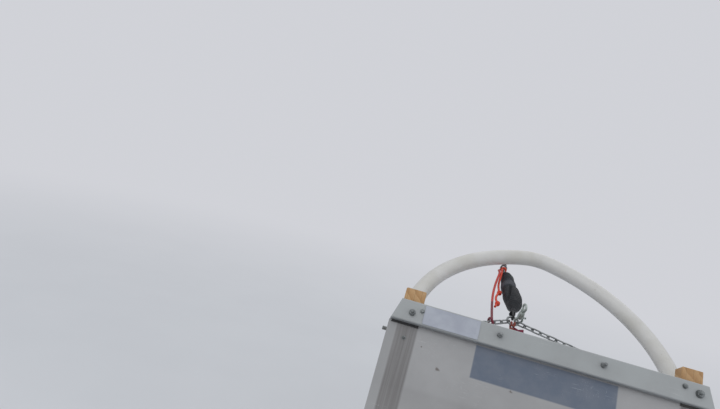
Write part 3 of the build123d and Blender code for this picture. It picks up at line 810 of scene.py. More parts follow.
@dataclass(frozen=True)
class PlaitFinish(Finish):
    """Plaited cord, by its UV map.

    Args:
        name: Name of the material.
        base: Colour of the strands that run one way.
        other: Colour of the strands that run the other way.
        strands: Number of strands round the cord.
        pitch: Length of one stitch along it.
        soiled: Colour of the soiled part.
        soiled_from: Distance along the cord where that part starts, or 0 for none.
    """

    base: Colour = (0.86, 0.10, 0.02)
    other: Colour = (0.62, 0.05, 0.012)
    strands: float = 8.0
    pitch: float = 0.004
    soiled: Colour = (0.13, 0.012, 0.03)
    soiled_from: float = 0.0

    def wire(self, wiring: Wiring, shader: Any) -> None:
        """Strands that cross, with painted shade in the gaps between them and a soft sheen.

        Args:
            wiring: Wiring of the material's tree.
            shader: Inputs of its shader.
        """
        plait = place_group(wiring, "plait", {
            "UV": surface_uv(wiring), "Color": opaque(self.base), "Other": opaque(self.other),
            "Strands": self.strands, "Pitch": self.pitch})
        fuzz = wiring.noise(object_place(wiring), 1400.0, 2.0)
        colour = wiring.mix(wiring.ramp(fuzz, 0.4, 0.8, 0.0, 0.25), plait["Color"], self.base)
        if self.soiled_from:
            run = wiring.parts(surface_uv(wiring))[1]
            late = wiring.ramp(run, self.soiled_from, self.soiled_from + 0.012, 0.0, 0.85)
            colour = wiring.mix(late, colour, self.soiled)
        wiring.feed(shader, {"Base Color": colour, "Roughness": 0.7, "Sheen Weight": 0.12,
                             "Normal": wiring.bump(plait["Height"], 0.7, 0.0006)})


@dataclass(frozen=True)
class SleeveFinish(Finish):
    """Black woven sleeve with a painted highlight band round its raised fold, by its UV map."""

    def wire(self, wiring: Wiring, shader: Any) -> None:
        """Ribs of the weave with painted shade in their gaps, a painted highlight band round the raised fold,
        and faint coloured glints near the top, which are painted highlights.

        Args:
            wiring: Wiring of the material's tree.
            shader: Inputs of its shader.
        """
        uv = surface_uv(wiring)
        plait = place_group(wiring, "plait", {
            "UV": uv, "Color": (0.009, 0.011, 0.014, 1.0), "Other": (0.017, 0.020, 0.026, 1.0),
            "Strands": 30.0, "Pitch": 0.003})
        run = wiring.parts(uv)[1]
        # Painted highlight: a paler band round the raised fold, where light catches the black weave.
        fold_highlight_band = wiring.times(wiring.ramp(run, 0.120, 0.127), wiring.ramp(run, 0.145, 0.152, 1.0, 0.0))
        colour = wiring.mix(wiring.times(fold_highlight_band, 0.8), plait["Color"], (0.055, 0.060, 0.075))
        place = object_place(wiring)
        # Painted highlights: faint purple and green glints on the sleeve's upper part.
        top = wiring.ramp(run, 0.14, 0.17)
        glint = wiring.ramp(wiring.noise(place, 70.0, 2.0), 0.55, 0.66, 0.0, 0.7)
        colour = wiring.mix(wiring.times(glint, top), colour, (0.030, 0.026, 0.060))
        elsewhere = wiring.mapped(place, shift=(3, 1, 2))
        green_glint = wiring.ramp(wiring.noise(elsewhere, 60.0, 2.0), 0.56, 0.68, 0.0, 0.6)
        wiring.feed(shader, {
            "Base Color": wiring.mix(wiring.times(green_glint, top), colour, (0.016, 0.045, 0.032)),
            "Roughness": 0.55, "Specular IOR Level": 0.3,
            "Normal": wiring.bump(plait["Height"], 0.6, 0.0007)})


@dataclass(frozen=True)
class PaintFinish(Finish):
    """Satin paint on a thin metal plate."""

    def wire(self, wiring: Wiring, shader: Any) -> None:
        """Pale paint, a little uneven, with fine scratches.

        Args:
            wiring: Wiring of the material's tree.
            shader: Inputs of its shader.
        """
        place = object_place(wiring)
        body = place_group(wiring, "mottle", {
            "Place": place, "Color": (0.41, 0.44, 0.505, 1.0), "Other": (0.35, 0.375, 0.445, 1.0),
            "Scale": 26.0})
        scuffs = place_group(wiring, "scuffs", {"Place": place, "Amount": 0.7})
        wiring.feed(shader, {
            "Base Color": wiring.mix(scuffs["Mask"], body["Color"], (0.26, 0.28, 0.32)),
            "Roughness": wiring.ramp(body["Mask"], 0.0, 1.0, 0.34, 0.5, smooth=False),
            "Normal": wiring.bump(scuffs["Height"], 0.3, 0.0002)})


@dataclass(frozen=True)
class NoseFrame:
    """The straight end of the bed line, which carries the crosspiece.

    Args:
        bed_height: Height of the side beams' top.
        turn_start: Distance from the runners' tails to where the beams start to turn up.
        turn_radius: Radius of that turn.
        angle: Slope of the straight end in degrees.
        tip_run: Distance up the slope to the crosspiece's top edge.
        face_offset: Height of the crosspiece's face above the beams' top plane.
        beam_outer: Half the sled's width over the beams.
        beam_width: Width of a beam.
    """

    bed_height: float = 0.178
    turn_start: float = 1.750
    turn_radius: float = 0.230
    angle: float = 60.5
    tip_run: float = 0.162
    face_offset: float = 0.019
    beam_outer: float = 0.280
    beam_width: float = 0.039

    @property
    def tails(self) -> float:
        """Y of the runners' tails."""
        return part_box("runner_right")[0].y

    @property
    def slope(self) -> np.ndarray:
        """Unit vector up the slope."""
        return np.array([0.0, cos(radians(self.angle)), sin(radians(self.angle))])

    @property
    def outward(self) -> np.ndarray:
        """Unit vector out of the bed, towards the rider."""
        return np.array([0.0, -sin(radians(self.angle)), cos(radians(self.angle))])

    @property
    def foot(self) -> np.ndarray:
        """Point on the beams' top plane where the straight end starts, at X = 0.

        Returns:
            The point.
        """
        turn = radians(self.angle)
        return np.array([0.0, self.tails + self.turn_start + self.turn_radius * sin(turn),
                         self.bed_height + self.turn_radius * (1 - cos(turn))])

    @property
    def axes(self) -> np.ndarray:
        """Right, up the slope and outward."""
        return np.stack([RIGHT, self.slope, self.outward])

    def point(self, x: float, below: float, offset: float) -> np.ndarray:
        """Point at X, so far below the crosspiece's top edge and out of the beams' top plane."""
        return self.foot + [x, 0, 0] + (self.tip_run - below) * self.slope + offset * self.outward


@dataclass(frozen=True)
class SheetFinish(Finish):
    """Milky bed sheet through which what it lies on shows.

    Args:
        name: Name of the material.
        nose: The straight end of the bed line.
        milk: Colour over nothing.
        edge: Colour outside the beams.
        wood: Colour over wood.
        backing: Colour over the backing plate.
        backing_half: Half the backing plate's length.
        backing_runs: Distances up the slope of its lower and upper edges.
        member_runs: Distances up the slope of the nose member's lower and upper edges.
        slat_middle: X of the outer slats.
        slat_half: Half a slat's width.
        marks: X, distance up the slope and radius of larger marks of dirt.
    """

    nose: NoseFrame = NoseFrame()
    milk: Colour = (0.315, 0.318, 0.328)
    edge: Colour = (0.30, 0.305, 0.315)
    wood: Colour = (0.135, 0.13, 0.13)
    backing: Colour = (0.105, 0.135, 0.19)
    backing_half: float = 0.1305
    backing_runs: Pair = (0.058, 0.119)
    member_runs: Pair = (-0.030, 0.009)
    slat_middle: float = 0.112
    slat_half: float = 0.031
    marks: tuple[Triple, ...] = ((-0.1898, 0.0549, 0.0050), (-0.0539, 0.0543, 0.0036))

    def wire(self, wiring: Wiring, shader: Any) -> None:
        """Masks from object coordinates for beams, slats, nose member and backing plate, under scratches.

        Args:
            wiring: Wiring of the material's tree.
            shader: Inputs of its shader.
        """
        nose = self.nose
        place = object_place(wiring)
        parts = wiring.parts(place)
        across = wiring.maths("ABSOLUTE", parts[0])
        moved = wiring.node("ShaderNodeVectorMath", {0: place, 1: tuple(nose.foot)}, operation="SUBTRACT")
        run = wiring.node("ShaderNodeVectorMath", {0: moved.outputs[0], 1: tuple(nose.slope)},
                          operation="DOT_PRODUCT").outputs[1]
        cloud = wiring.noise(place, 9.0, 4.0, 0.6)
        milk = wiring.mix(wiring.ramp(cloud, 0.3, 0.75), self.milk, tuple(1.14 * part for part in self.milk))
        colour = wiring.mix(wiring.ramp(across, nose.beam_outer - 0.002, nose.beam_outer + 0.004), milk,
                            self.edge)
        inner = nose.beam_outer - nose.beam_width
        beams = wiring.inside(across, inner, nose.beam_outer, 0.0025)
        grain = wiring.noise(wiring.mapped(place, (300, 7, 7)), 1.0, 3.0)
        beams = wiring.times(beams, wiring.ramp(grain, 0.25, 0.8, 0.9, 0.62))
        colour = wiring.mix(beams, colour, self.wood)
        flat = wiring.below(parts[1], nose.tails + nose.turn_start - 0.013, 0.003)
        outer = wiring.maths("ABSOLUTE", wiring.maths("SUBTRACT", across, self.slat_middle))
        slats = wiring.maths("MAXIMUM", *[wiring.below(x, self.slat_half, 0.003) for x in (outer, across)])
        slats = wiring.times(wiring.times(slats, flat), 0.55)
        colour = wiring.mix(slats, colour, self.wood)
        member = wiring.times(wiring.inside(run, *self.member_runs, 0.006), wiring.below(across, inner, 0.001))
        colour = wiring.mix(wiring.times(member, 0.12), colour, self.wood)
        plate = wiring.times(wiring.inside(run, *self.backing_runs, 0.0016),
                             wiring.below(across, self.backing_half, 0.0016))
        uneven = wiring.ramp(wiring.noise(place, 30.0, 3.0), 0.3, 0.7, 0.86, 1.0)
        colour = wiring.mix(wiring.times(plate, uneven), colour, self.backing)
        scuffs = place_group(wiring, "scuffs", {"Place": place, "Amount": 0.8})
        colour = wiring.mix(wiring.times(scuffs["Mask"], 0.5), colour, (0.55, 0.56, 0.58))
        specks = wiring.node("ShaderNodeTexVoronoi", {"Vector": place, "Scale": 22.0}).outputs["Distance"]
        dirt = wiring.ramp(specks, 0.025, 0.05, 0.7, 0.0)
        colour = wiring.mix(dirt, colour, (0.10, 0.085, 0.07))
        blur = wiring.times(wiring.maths("SUBTRACT", wiring.noise(place, 160.0, 3.0), 0.5), 0.012)
        for x, up, radius in self.marks:
            middle = nose.foot + [x, 0, 0] + up * nose.slope + 0.004 * nose.outward
            spot = wiring.node("ShaderNodeVectorMath", {0: place, 1: tuple(middle)},
                               operation="DISTANCE").outputs[1]
            near = wiring.ramp(wiring.maths("ADD", spot, blur), 0.3 * radius, radius, 0.75, 0.0)
            colour = wiring.mix(near, colour, (0.085, 0.065, 0.05))
        wave = wiring.times(wiring.noise(place, 3.2, 1.0), 2.0)
        wiring.feed(shader, {
            "Base Color": colour,
            "Roughness": wiring.ramp(cloud, 0.3, 0.7, 0.3, 0.44, smooth=False),
            "Coat Weight": 0.15, "Coat Roughness": 0.25,
            "Normal": wiring.bump(wiring.maths("ADD", wave, scuffs["Height"]), 0.2, 0.0012)})


# Studio


@dataclass
class Studio:
    """Camera, floor, soft lamps and pale surroundings.

    Args:
        nose: The straight end of the bed line, from which the camera's place is given.
        camera_from_tip: Camera's place from the beams' top plane at the crosspiece's top edge.
        yaw: Turn to the left in degrees.
        pitch: Turn down in degrees.
        roll: Roll in degrees.
        lens: Focal length in millimetres on a sensor 36 mm wide.
        pale: Colour of the surroundings.
        level: Strength of the surroundings as a light.
        floor_half: Half the floor's size.
        fade: Distances from the sled at which the floor starts and ends turning into the surroundings.
    """

    nose: NoseFrame
    camera_from_tip: Triple = (-0.2940, -1.1630, 0.2646)
    yaw: float = 5.56
    pitch: float = 5.39
    roll: float = -14.94
    lens: float = 31.05
    pale: Colour = (0.635, 0.645, 0.685)
    level: float = 0.75
    floor_half: float = 40.0
    fade: Pair = (1.5, 4.5)

    def build(self) -> None:
        """Make everything and set the scene's colour management."""
        bpy.context.scene.view_settings.view_transform = "Standard"
        self.build_camera()
        self.build_world()
        self.build_floor()
        self.build_lamp("key", (-1.6, -1.6, 3.4), 2.8, 28.0, (1.0, 0.99, 0.97))
        self.build_lamp("fill", (2.2, -1.6, 2.0), 2.0, 8.0, (0.95, 0.97, 1.0))
        self.build_lamp("rim", (0.6, 3.4, 2.0), 2.0, 8.0, (1.0, 0.97, 0.93))

    def build_camera(self) -> None:
        """Camera whose matrix has right, up and back as its columns, from yaw, pitch and roll."""
        yaw, pitch, roll = radians(self.yaw), radians(self.pitch), radians(self.roll)
        ahead = np.array([-sin(yaw) * cos(pitch), cos(yaw) * cos(pitch), -sin(pitch)])
        level_right = np.array([cos(yaw), sin(yaw), 0.0])
        level_down = np.cross(ahead, level_right)
        right = cos(roll) * level_right + sin(roll) * level_down
        down = cos(roll) * level_down - sin(roll) * level_right
        data = bpy.data.cameras.new("camera")
        data.sensor_width = 36.0
        data.lens = self.lens
        data.clip_start = 0.02
        camera = new_object("camera", data)
        matrix = np.eye(4)
        matrix[:3] = np.stack([right, -down, -ahead, self.nose.point(0, 0, 0) + self.camera_from_tip], axis=1)
        camera.matrix_world = Matrix(matrix.tolist())
        bpy.context.scene.camera = camera

    def seen_ray(self, wiring: Wiring) -> bpy.types.NodeSocket:
        """One for camera, glossy and transmission rays, else zero.

        Args:
            wiring: Wiring of the tree that asks.

        Returns:
            The value.
        """
        path = wiring.node("ShaderNodeLightPath").outputs
        seen = wiring.maths("MAXIMUM", path["Is Camera Ray"], path["Is Glossy Ray"])
        return wiring.maths("MAXIMUM", seen, path["Is Transmission Ray"])

    def build_world(self) -> None:
        """Surroundings that look pale and light the sled softly from all sides."""
        world = bpy.data.worlds.new("surroundings")
        wiring = empty_tree(world)
        shown = wiring.node("ShaderNodeBackground", {"Color": opaque(self.pale), "Strength": 1.0})
        light = wiring.node("ShaderNodeBackground", {"Color": (0.97, 0.985, 1.0, 1.0), "Strength": self.level})
        mixed = wiring.node("ShaderNodeMixShader", {
            0: self.seen_ray(wiring), 1: light.outputs[0], 2: shown.outputs[0]})
        wiring.node("ShaderNodeOutputWorld", {0: mixed.outputs[0]})
        bpy.context.scene.world = world

    def build_floor(self) -> None:
        """Pale floor that keeps the sled's shadow and fades into the surroundings far off."""
        corners = self.floor_half * np.array([(-1, -1, 0), (1, -1, 0), (1, 1, 0), (-1, 1, 0)])
        floor = mesh_piece("floor", corners, [[0, 1, 2, 3]], smooth=False)
        material = bpy.data.materials.new("pale_floor")
        wiring = empty_tree(material)
        place = object_place(wiring)
        soft = wiring.ramp(wiring.noise(place, 2.2, 3.0), 0.3, 0.7)
        colour = wiring.mix(soft, (0.60, 0.62, 0.66), (0.62, 0.64, 0.68))
        matt = wiring.node("ShaderNodeBsdfPrincipled", {"Base Color": colour, "Roughness": 0.9})
        glow = wiring.node("ShaderNodeEmission", {"Color": opaque(self.pale), "Strength": 1.0})
        distance = wiring.node("ShaderNodeVectorMath", {0: place}, operation="LENGTH").outputs[1]
        fade = wiring.times(wiring.ramp(distance, *self.fade), self.seen_ray(wiring))
        mixed = wiring.node("ShaderNodeMixShader", {0: fade, 1: matt.outputs[0], 2: glow.outputs[0]})
        wiring.node("ShaderNodeOutputMaterial", {0: mixed.outputs[0]})
        floor.data.materials.append(material)

    def build_lamp(self, name: str, place: Triple, size: float, power: float,
                   colour: Colour) -> None:
        """Square soft lamp that faces the sled's middle.

        Args:
            name: Name of the lamp.
            place: Where it hangs.
            size: Length of its side.
            power: Its power in watts.
            colour: Its colour.
        """
        data = bpy.data.lights.new(name, "AREA")
        data.shape = "SQUARE"
        data.size = size
        data.energy = power
        data.color = colour
        lamp = new_object(name, data)
        lamp.location = place
        lamp.rotation_euler = (Vector((0, 0.3, 0.3)) - Vector(place)).to_track_quat("-Z", "Y").to_euler()


# Sub-assemblies


@dataclass
class Frame:
    """Wooden frame, bed sheet and crosspiece: the CAD solids and their finishes.

    Args:
        nose: The straight end of the bed line.
    """

    nose: NoseFrame

    def build(self) -> None:
        """Give every CAD node of the frame its finish."""
        finishes = {
            WoodFinish("ash_along"): (
                "side_rail_left", "side_rail_right", "footboard_left", "footboard_right", "bed_slats"),
            WoodFinish("ash_runner", lamination=0.0118, weathered=0.5): ("runner_left", "runner_right"),
            WoodFinish("ash_beam", Grain.ALONG, (0.52, 0.325, 0.155), (0.39, 0.215, 0.085), 0.0131, 0.12): (
                "beam_left", "beam_right"),
            WoodFinish("ash_across", Grain.ACROSS): ("cross_members",),
            WoodFinish("ash_upright", Grain.UP): (
                "stanchions_left", "stanchions_right", "posts_left", "posts_right"),
            RubberFinish("black_rubber"): ("packers", "tread_left", "tread_right"),
            RubberFinish("grip_foam", (0.018, 0.018, 0.019), 1500.0): ("grip",),
            PlasticFinish("shoe_plastic", (0.025, 0.025, 0.028), (0.045, 0.045, 0.048), 0.4, 0.9,
                          (0.12, 0.12, 0.13)): ("shoe_left", "shoe_right"),
            SheetFinish("milky_sheet", self.nose): ("bed_sheet",),
            PlasticFinish("crosspiece_plastic", (0.355, 0.378, 0.388), (0.325, 0.342, 0.352), 0.4, 0.6,
                          (0.5, 0.51, 0.52)): ("crosspiece",),
            PlasticFinish("backing_plastic", (0.11, 0.14, 0.18), (0.13, 0.16, 0.2), 0.5, 0.5,
                          (0.25, 0.28, 0.32)): ("backing_plate",),
            PaintFinish("plate_paint"): ("blank_plate",),
        }
        for finish, names in finishes.items():
            finish.dress_nodes(*names)


@dataclass
class Bows:
    """Round bows: the plastic brush bow and the bent wooden driving bow.

    Args:
        nose: The straight end of the bed line.
        brush_rise: Slope of the brush bow's plane in degrees.
        brush_radius: Radius of its rod.
        knee: Where its straight leg ends, across and forward in its plane.
        flank_centre: Centre of its right flank's arc, of radius flank_radius.
        apex_centre: Distance forward of its front arc's centre, of radius apex_radius.
        handle_radius: Radius of the driving bow's rod.
        lean: Lean of the driving bow in degrees.
        foot: Height of its feet.
        station: Distance of its feet from the runners' tails.
        brush_root: Middle of the brush bow's ends, below the crosspiece's top edge and out of the beams.
        handle: Corners of its right half, across and up its plane.
        bends: Radii of its lower bends and upper corners.
    """

    nose: NoseFrame
    brush_rise: float = 26.5
    brush_radius: float = 0.017
    knee: Pair = (0.2617, 0.02297)
    flank_centre: Pair = (-0.0768, 0.04071)
    flank_radius: float = 0.339
    apex_centre: float = 0.27336
    apex_radius: float = 0.094
    handle_radius: float = 0.013
    lean: float = 6.0
    foot: float = 0.150
    station: float = 0.470
    brush_root: Pair = (0.049, -0.028)
    handle: tuple[Pair, ...] = ((0.228, 0.015), (0.228, 0.40018), (0.205, 0.81446))
    bends: Pair = (0.400, 0.105)

    def brush_line(self) -> np.ndarray:
        """Middle line of the brush bow: straight legs, two flank arcs and a front arc.

        Returns:
            Its points, across and forward in the bow's plane.
        """
        turn = np.arctan2(self.apex_centre - self.flank_centre[1], -self.flank_centre[0])
        knee = np.arctan2(self.knee[1] - self.flank_centre[1], self.knee[0] - self.flank_centre[0])
        flank = arc(self.flank_centre, self.flank_radius, float(knee), float(turn), 60)
        front = arc((0.0, self.apex_centre), self.apex_radius, float(turn), pi - float(turn), 15)[1:-1]
        start = np.array([[self.nose.beam_outer - self.nose.beam_width / 2, 0.0]])
        right = np.concatenate([start, flank])
        return np.concatenate([right, front, right[::-1] * [-1, 1]])

    def build_brush(self) -> None:
        """Brush bow, whose ends lie on the plane of the beams' undersides."""
        nose, turn = self.nose, radians(self.brush_rise)
        root = nose.point(0.0, *self.brush_root)
        axes = np.array([[1.0, 0.0, 0.0], [0.0, cos(turn), sin(turn)]])
        path = root + self.brush_line() @ axes
        points = tube_points(path, self.brush_radius, 40, np.array([0.0, -sin(turn), cos(turn)]))
        points[0] = onto_plane(points[0], path[1] - path[0], root, nose.outward)
        points[-1] = onto_plane(points[-1], path[-1] - path[-2], root, nose.outward)
        finish = PlasticFinish("bow_plastic", (0.61, 0.61, 0.605), (0.54, 0.535, 0.51), 0.42, 0.6,
                               (0.42, 0.41, 0.38))
        settle(tube_piece("brush_bow_rod", points, path), finish, "brush_bow")

    def build_driving(self) -> None:
        """Driving bow, whose feet are cut level on the rear cross member."""
        turn = radians(self.lean)
        base = np.array([0.0, self.nose.tails + self.station, self.foot])
        axes = np.array([[1.0, 0.0, 0.0], [0.0, -sin(turn), cos(turn)]])
        right = np.array(self.handle)
        corners = np.concatenate([right, right[::-1] * [-1, 1]])
        path = base + rounded(corners, (*self.bends, *self.bends[::-1]), 0.009) @ axes
        points = tube_points(path, self.handle_radius, 32, RIGHT)
        for end in (0, -1):
            points[end] = onto_plane(points[end], axes[1], base, UP)
        finish = WoodFinish("ash_bent", rod=self.handle_radius)
        settle(tube_piece("driving_bow_rod", points, path), finish, "driving_bow")

    def build(self) -> None:
        """Make both bows."""
        self.build_brush()
        self.build_driving()


@dataclass
class ClawBrake:
    """Hinged claw brake: the CAD solids with their finish, and the wound springs.

    Args:
        steel: Finish of every piece.
        spring_wire: Diameter of the springs' wire.
        spring_radius: Radius of their middle line.
        spring_turns: Number of whole turns.
    """

    steel: MetalFinish
    spring_wire: float = 0.0036
    spring_radius: float = 0.00707
    spring_turns: int = 8

    def build(self) -> None:
        """Give every CAD node of the brake its finish."""
        self.steel.dress_nodes("brake_arms", "brake_plate", "brake_claws", "brake_brackets", "brake_pins")
        self.build_springs()

    def build_springs(self) -> None:
        """Close-wound torsion springs, whose inner ends stand up against the cross member.

        A spring's middle line is a helix: x = start - wire * (t + 1/4), y = r * cos(2 pi t) and
        z = r * sin(2 pi t), for t in turns from -1/4 to the last.
        """
        low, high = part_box("brake_springs")
        middle = np.array([0.0, (low.y + high.y) / 2, (low.z + high.z) / 2])
        turns = np.linspace(-0.25, self.spring_turns, 26 * self.spring_turns)
        start = high.x - self.spring_wire / 2
        radius, angle = self.spring_radius, 2 * pi * turns
        helix = np.stack([start - self.spring_wire * (turns + 0.25), radius * np.cos(angle),
                          radius * np.sin(angle)], axis=-1)
        tail = helix[0] - np.outer([0.010, 0.005], FORWARD)
        leg = helix[-1] + np.outer([0.008, 0.016, 0.0255], UP)
        path = np.concatenate([tail, helix, leg])
        solid = Solid()
        for side in (1, -1):
            solid.tube(path * [side, 1, 1] + middle, 0.49 * self.spring_wire, 10, RIGHT)
        settle(solid.piece("torsion_springs"), self.steel, "brake_springs", 180.0)


@dataclass
class Fasteners:
    """Nuts, studs and screws on the frame.

    Args:
        nose: The straight end of the bed line.
        steel: Finish of the plated ones.
        dark: Finish of the dark ones, a darker copy of the plated steel, which on the crosspiece's end nuts is
            painted shade.
        washer: Thickness of the nuts' washers.
        thread: Height of one ridge of a thread.
        stations: Distances of the stanchions from the runners' tails.
        rail_joint: Distance up the driving bow of the side rails' bolts.
        rail_side: X of the nuts of those bolts.
        foot_way: Half the distance between a stanchion's two bolts.
        foot_height: Height of those bolts.
        sheet: Thickness of the bed sheet.
        screw_runs: First sheet screw's distance from the runners' tails, and the distance between screws.
    """

    nose: NoseFrame
    steel: MetalFinish
    dark: MetalFinish
    washer: float = 0.0012
    thread: float = 0.00125
    stations: Triple = (0.470, 0.880, 1.290)
    rail_joint: float = 0.370
    rail_side: float = 0.263
    foot_way: float = 0.026
    foot_height: float = 0.024
    sheet: float = 0.004
    screw_runs: Pair = (0.56, 0.17)

    def nut(self, solid: Solid, place: np.ndarray, axes: np.ndarray, radius: float, height: float,
            spread: float = 1.28) -> None:
        """Washer under a hexagon nut with a chamfered top.

        Args:
            solid: Where it goes.
            place: Middle of its foot.
            axes: Side, other side and axis.
            radius: The nut's radius over its corners.
            height: The nut's height.
            spread: The washer's radius as a share of the nut's.
        """
        solid.turned(place, axes, [(0, spread * radius), (self.washer, spread * radius)], 24)
        solid.turned(place + self.washer * axes[2], axes,
                     [(0, radius), (0.86 * height, radius), (height, 0.86 * radius)], 6, pi / 6)

    def stud(self, solid: Solid, place: np.ndarray, axes: np.ndarray, radius: float, height: float) -> None:
        """Threaded end, with level ridges for the thread.

        Args:
            solid: Where it goes.
            place: Middle of its foot.
            axes: Side, other side and axis.
            radius: Outer radius of the thread.
            height: Height of the thread.
        """
        count = int(height / self.thread)
        foot = self.thread * np.arange(count)
        root, crest = np.full(count, 0.86 * radius), np.full(count, radius)
        ridges = np.stack([foot, root, foot + self.thread / 2, crest], axis=-1)
        top = count * self.thread
        profile = [*map(tuple, ridges.reshape(-1, 2)), (top, 0.86 * radius), (top + 0.0006, 0.7 * radius)]
        solid.turned(place, axes, profile, 20)

    def screw(self, solid: Solid, place: np.ndarray, axes: np.ndarray, radius: float) -> None:
        """Low domed head on a thin washer, with a hollow in the middle for the driver.

        Args:
            solid: Where it goes.
            place: Middle of its foot.
            axes: Side, other side and axis.
            radius: Radius of the head.
        """
        solid.turned(place, axes, [(0, 1.5 * radius), (0.0008, 1.5 * radius)], 24)
        dome = [(0.0008, radius), (0.0018, 0.95 * radius), (0.0028, 0.75 * radius), (0.0031, 0.5 * radius),
                (0.0031, 0.3 * radius), (0.0016, 0.24 * radius)]
        solid.turned(place, axes, dome, 20)

    def finish_piece(self, solid: Solid, name: str, finish: Finish) -> None:
        """Make the piece, dress it and let it ride on the sled."""
        settle(solid.piece(name), finish, None, 32.0)

    def build_crosspiece(self) -> None:
        """Studs with nuts, and a large and a small nut at each end of the crosspiece's face, dark with painted
        shade.
        """
        nose = self.nose
        bright, dark = Solid(), Solid()
        for side in (-1, 1):
            place = nose.point(side * 0.095, 0.0174, nose.face_offset)
            self.nut(bright, place, nose.axes, 0.0052, 0.0048, 1.1)
            self.stud(bright, place + (0.0048 + self.washer) * nose.outward, nose.axes, 0.0030, 0.0075)
        # The end nuts take the darker steel: painted shade on plated zinc.
        for x, below, radius, height, stud in (
                (-0.259, 0.023, 0.0056, 0.0060, 0.0060), (-0.2415, 0.0155, 0.0034, 0.0040, 0.0),
                (0.2395, 0.0125, 0.0042, 0.0036, 0.0), (0.2655, 0.019, 0.0066, 0.0060, 0.0050)):
            place = nose.point(x, below, nose.face_offset)
            self.nut(dark, place, nose.axes, radius, height, 1.12)
            if stud:
                self.stud(dark, place + (height + self.washer) * nose.outward, nose.axes, 0.0032, stud)
        self.finish_piece(bright, "crosspiece_nuts", self.steel)
        self.finish_piece(dark, "crosspiece_end_nuts", self.dark)

    def build_sheet_screws(self) -> None:
        """Screws of the sheet, along the bed and up the nose, and of the bridle's eye plates."""
        nose = self.nose
        solid, plates = Solid(), Solid()
        level = np.eye(3)
        down = nose.axes * np.array([[-1], [1], [-1]])
        for side in (-1, 1):
            x = side * (nose.beam_outer - nose.beam_width / 2)
            for y in np.arange(self.screw_runs[0], nose.turn_start, self.screw_runs[1]):
                self.screw(solid, np.array([x, nose.tails + y, nose.bed_height + self.sheet]), level, 0.0036)
            self.screw(solid, nose.point(side * 0.262, 0.069, self.sheet), nose.axes, 0.0026)
            for way in (-0.006, 0.006):
                self.screw(plates, nose.point(side * Bridle.eye_half + way, 0.0445, -0.003), down, 0.0022)
        self.finish_piece(solid, "sheet_screws", self.dark)
        self.finish_piece(plates, "eye_screws", self.steel)

    def build_frame_bolts(self) -> None:
        """Bolts through the runners, the nose's sides, the side rails and the driving bow."""
        nose, solid = self.nose, Solid()
        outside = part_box("runner_right")[1].x
        lean = radians(Bows.lean)
        for side in (-1, 1):
            axes = np.array([[0, 1, 0], [0, 0, side], [side, 0, 0]], float)
            for station in self.stations:
                for way in (-self.foot_way, self.foot_way):
                    place = np.array([side * outside, nose.tails + station + way, self.foot_height])
                    self.nut(solid, place, axes, 0.0056, 0.0042)
            place = nose.point(side * nose.beam_outer, 0.057, -0.014)
            self.nut(solid, place, axes, 0.0062, 0.0050, 1.2)
            self.stud(solid, place + [side * 0.006, 0, 0], axes, 0.0038, 0.019)
            y = nose.tails + Bows.station - self.rail_joint * sin(lean)
            place = np.array([side * self.rail_side, y, Bows.foot + self.rail_joint * cos(lean)])
            self.nut(solid, place, axes, 0.0050, 0.0036)
        self.finish_piece(solid, "frame_bolts", self.steel)

    def build(self) -> None:
        """Make every group of fasteners."""
        self.build_crosspiece()
        self.build_sheet_screws()
        self.build_frame_bolts()


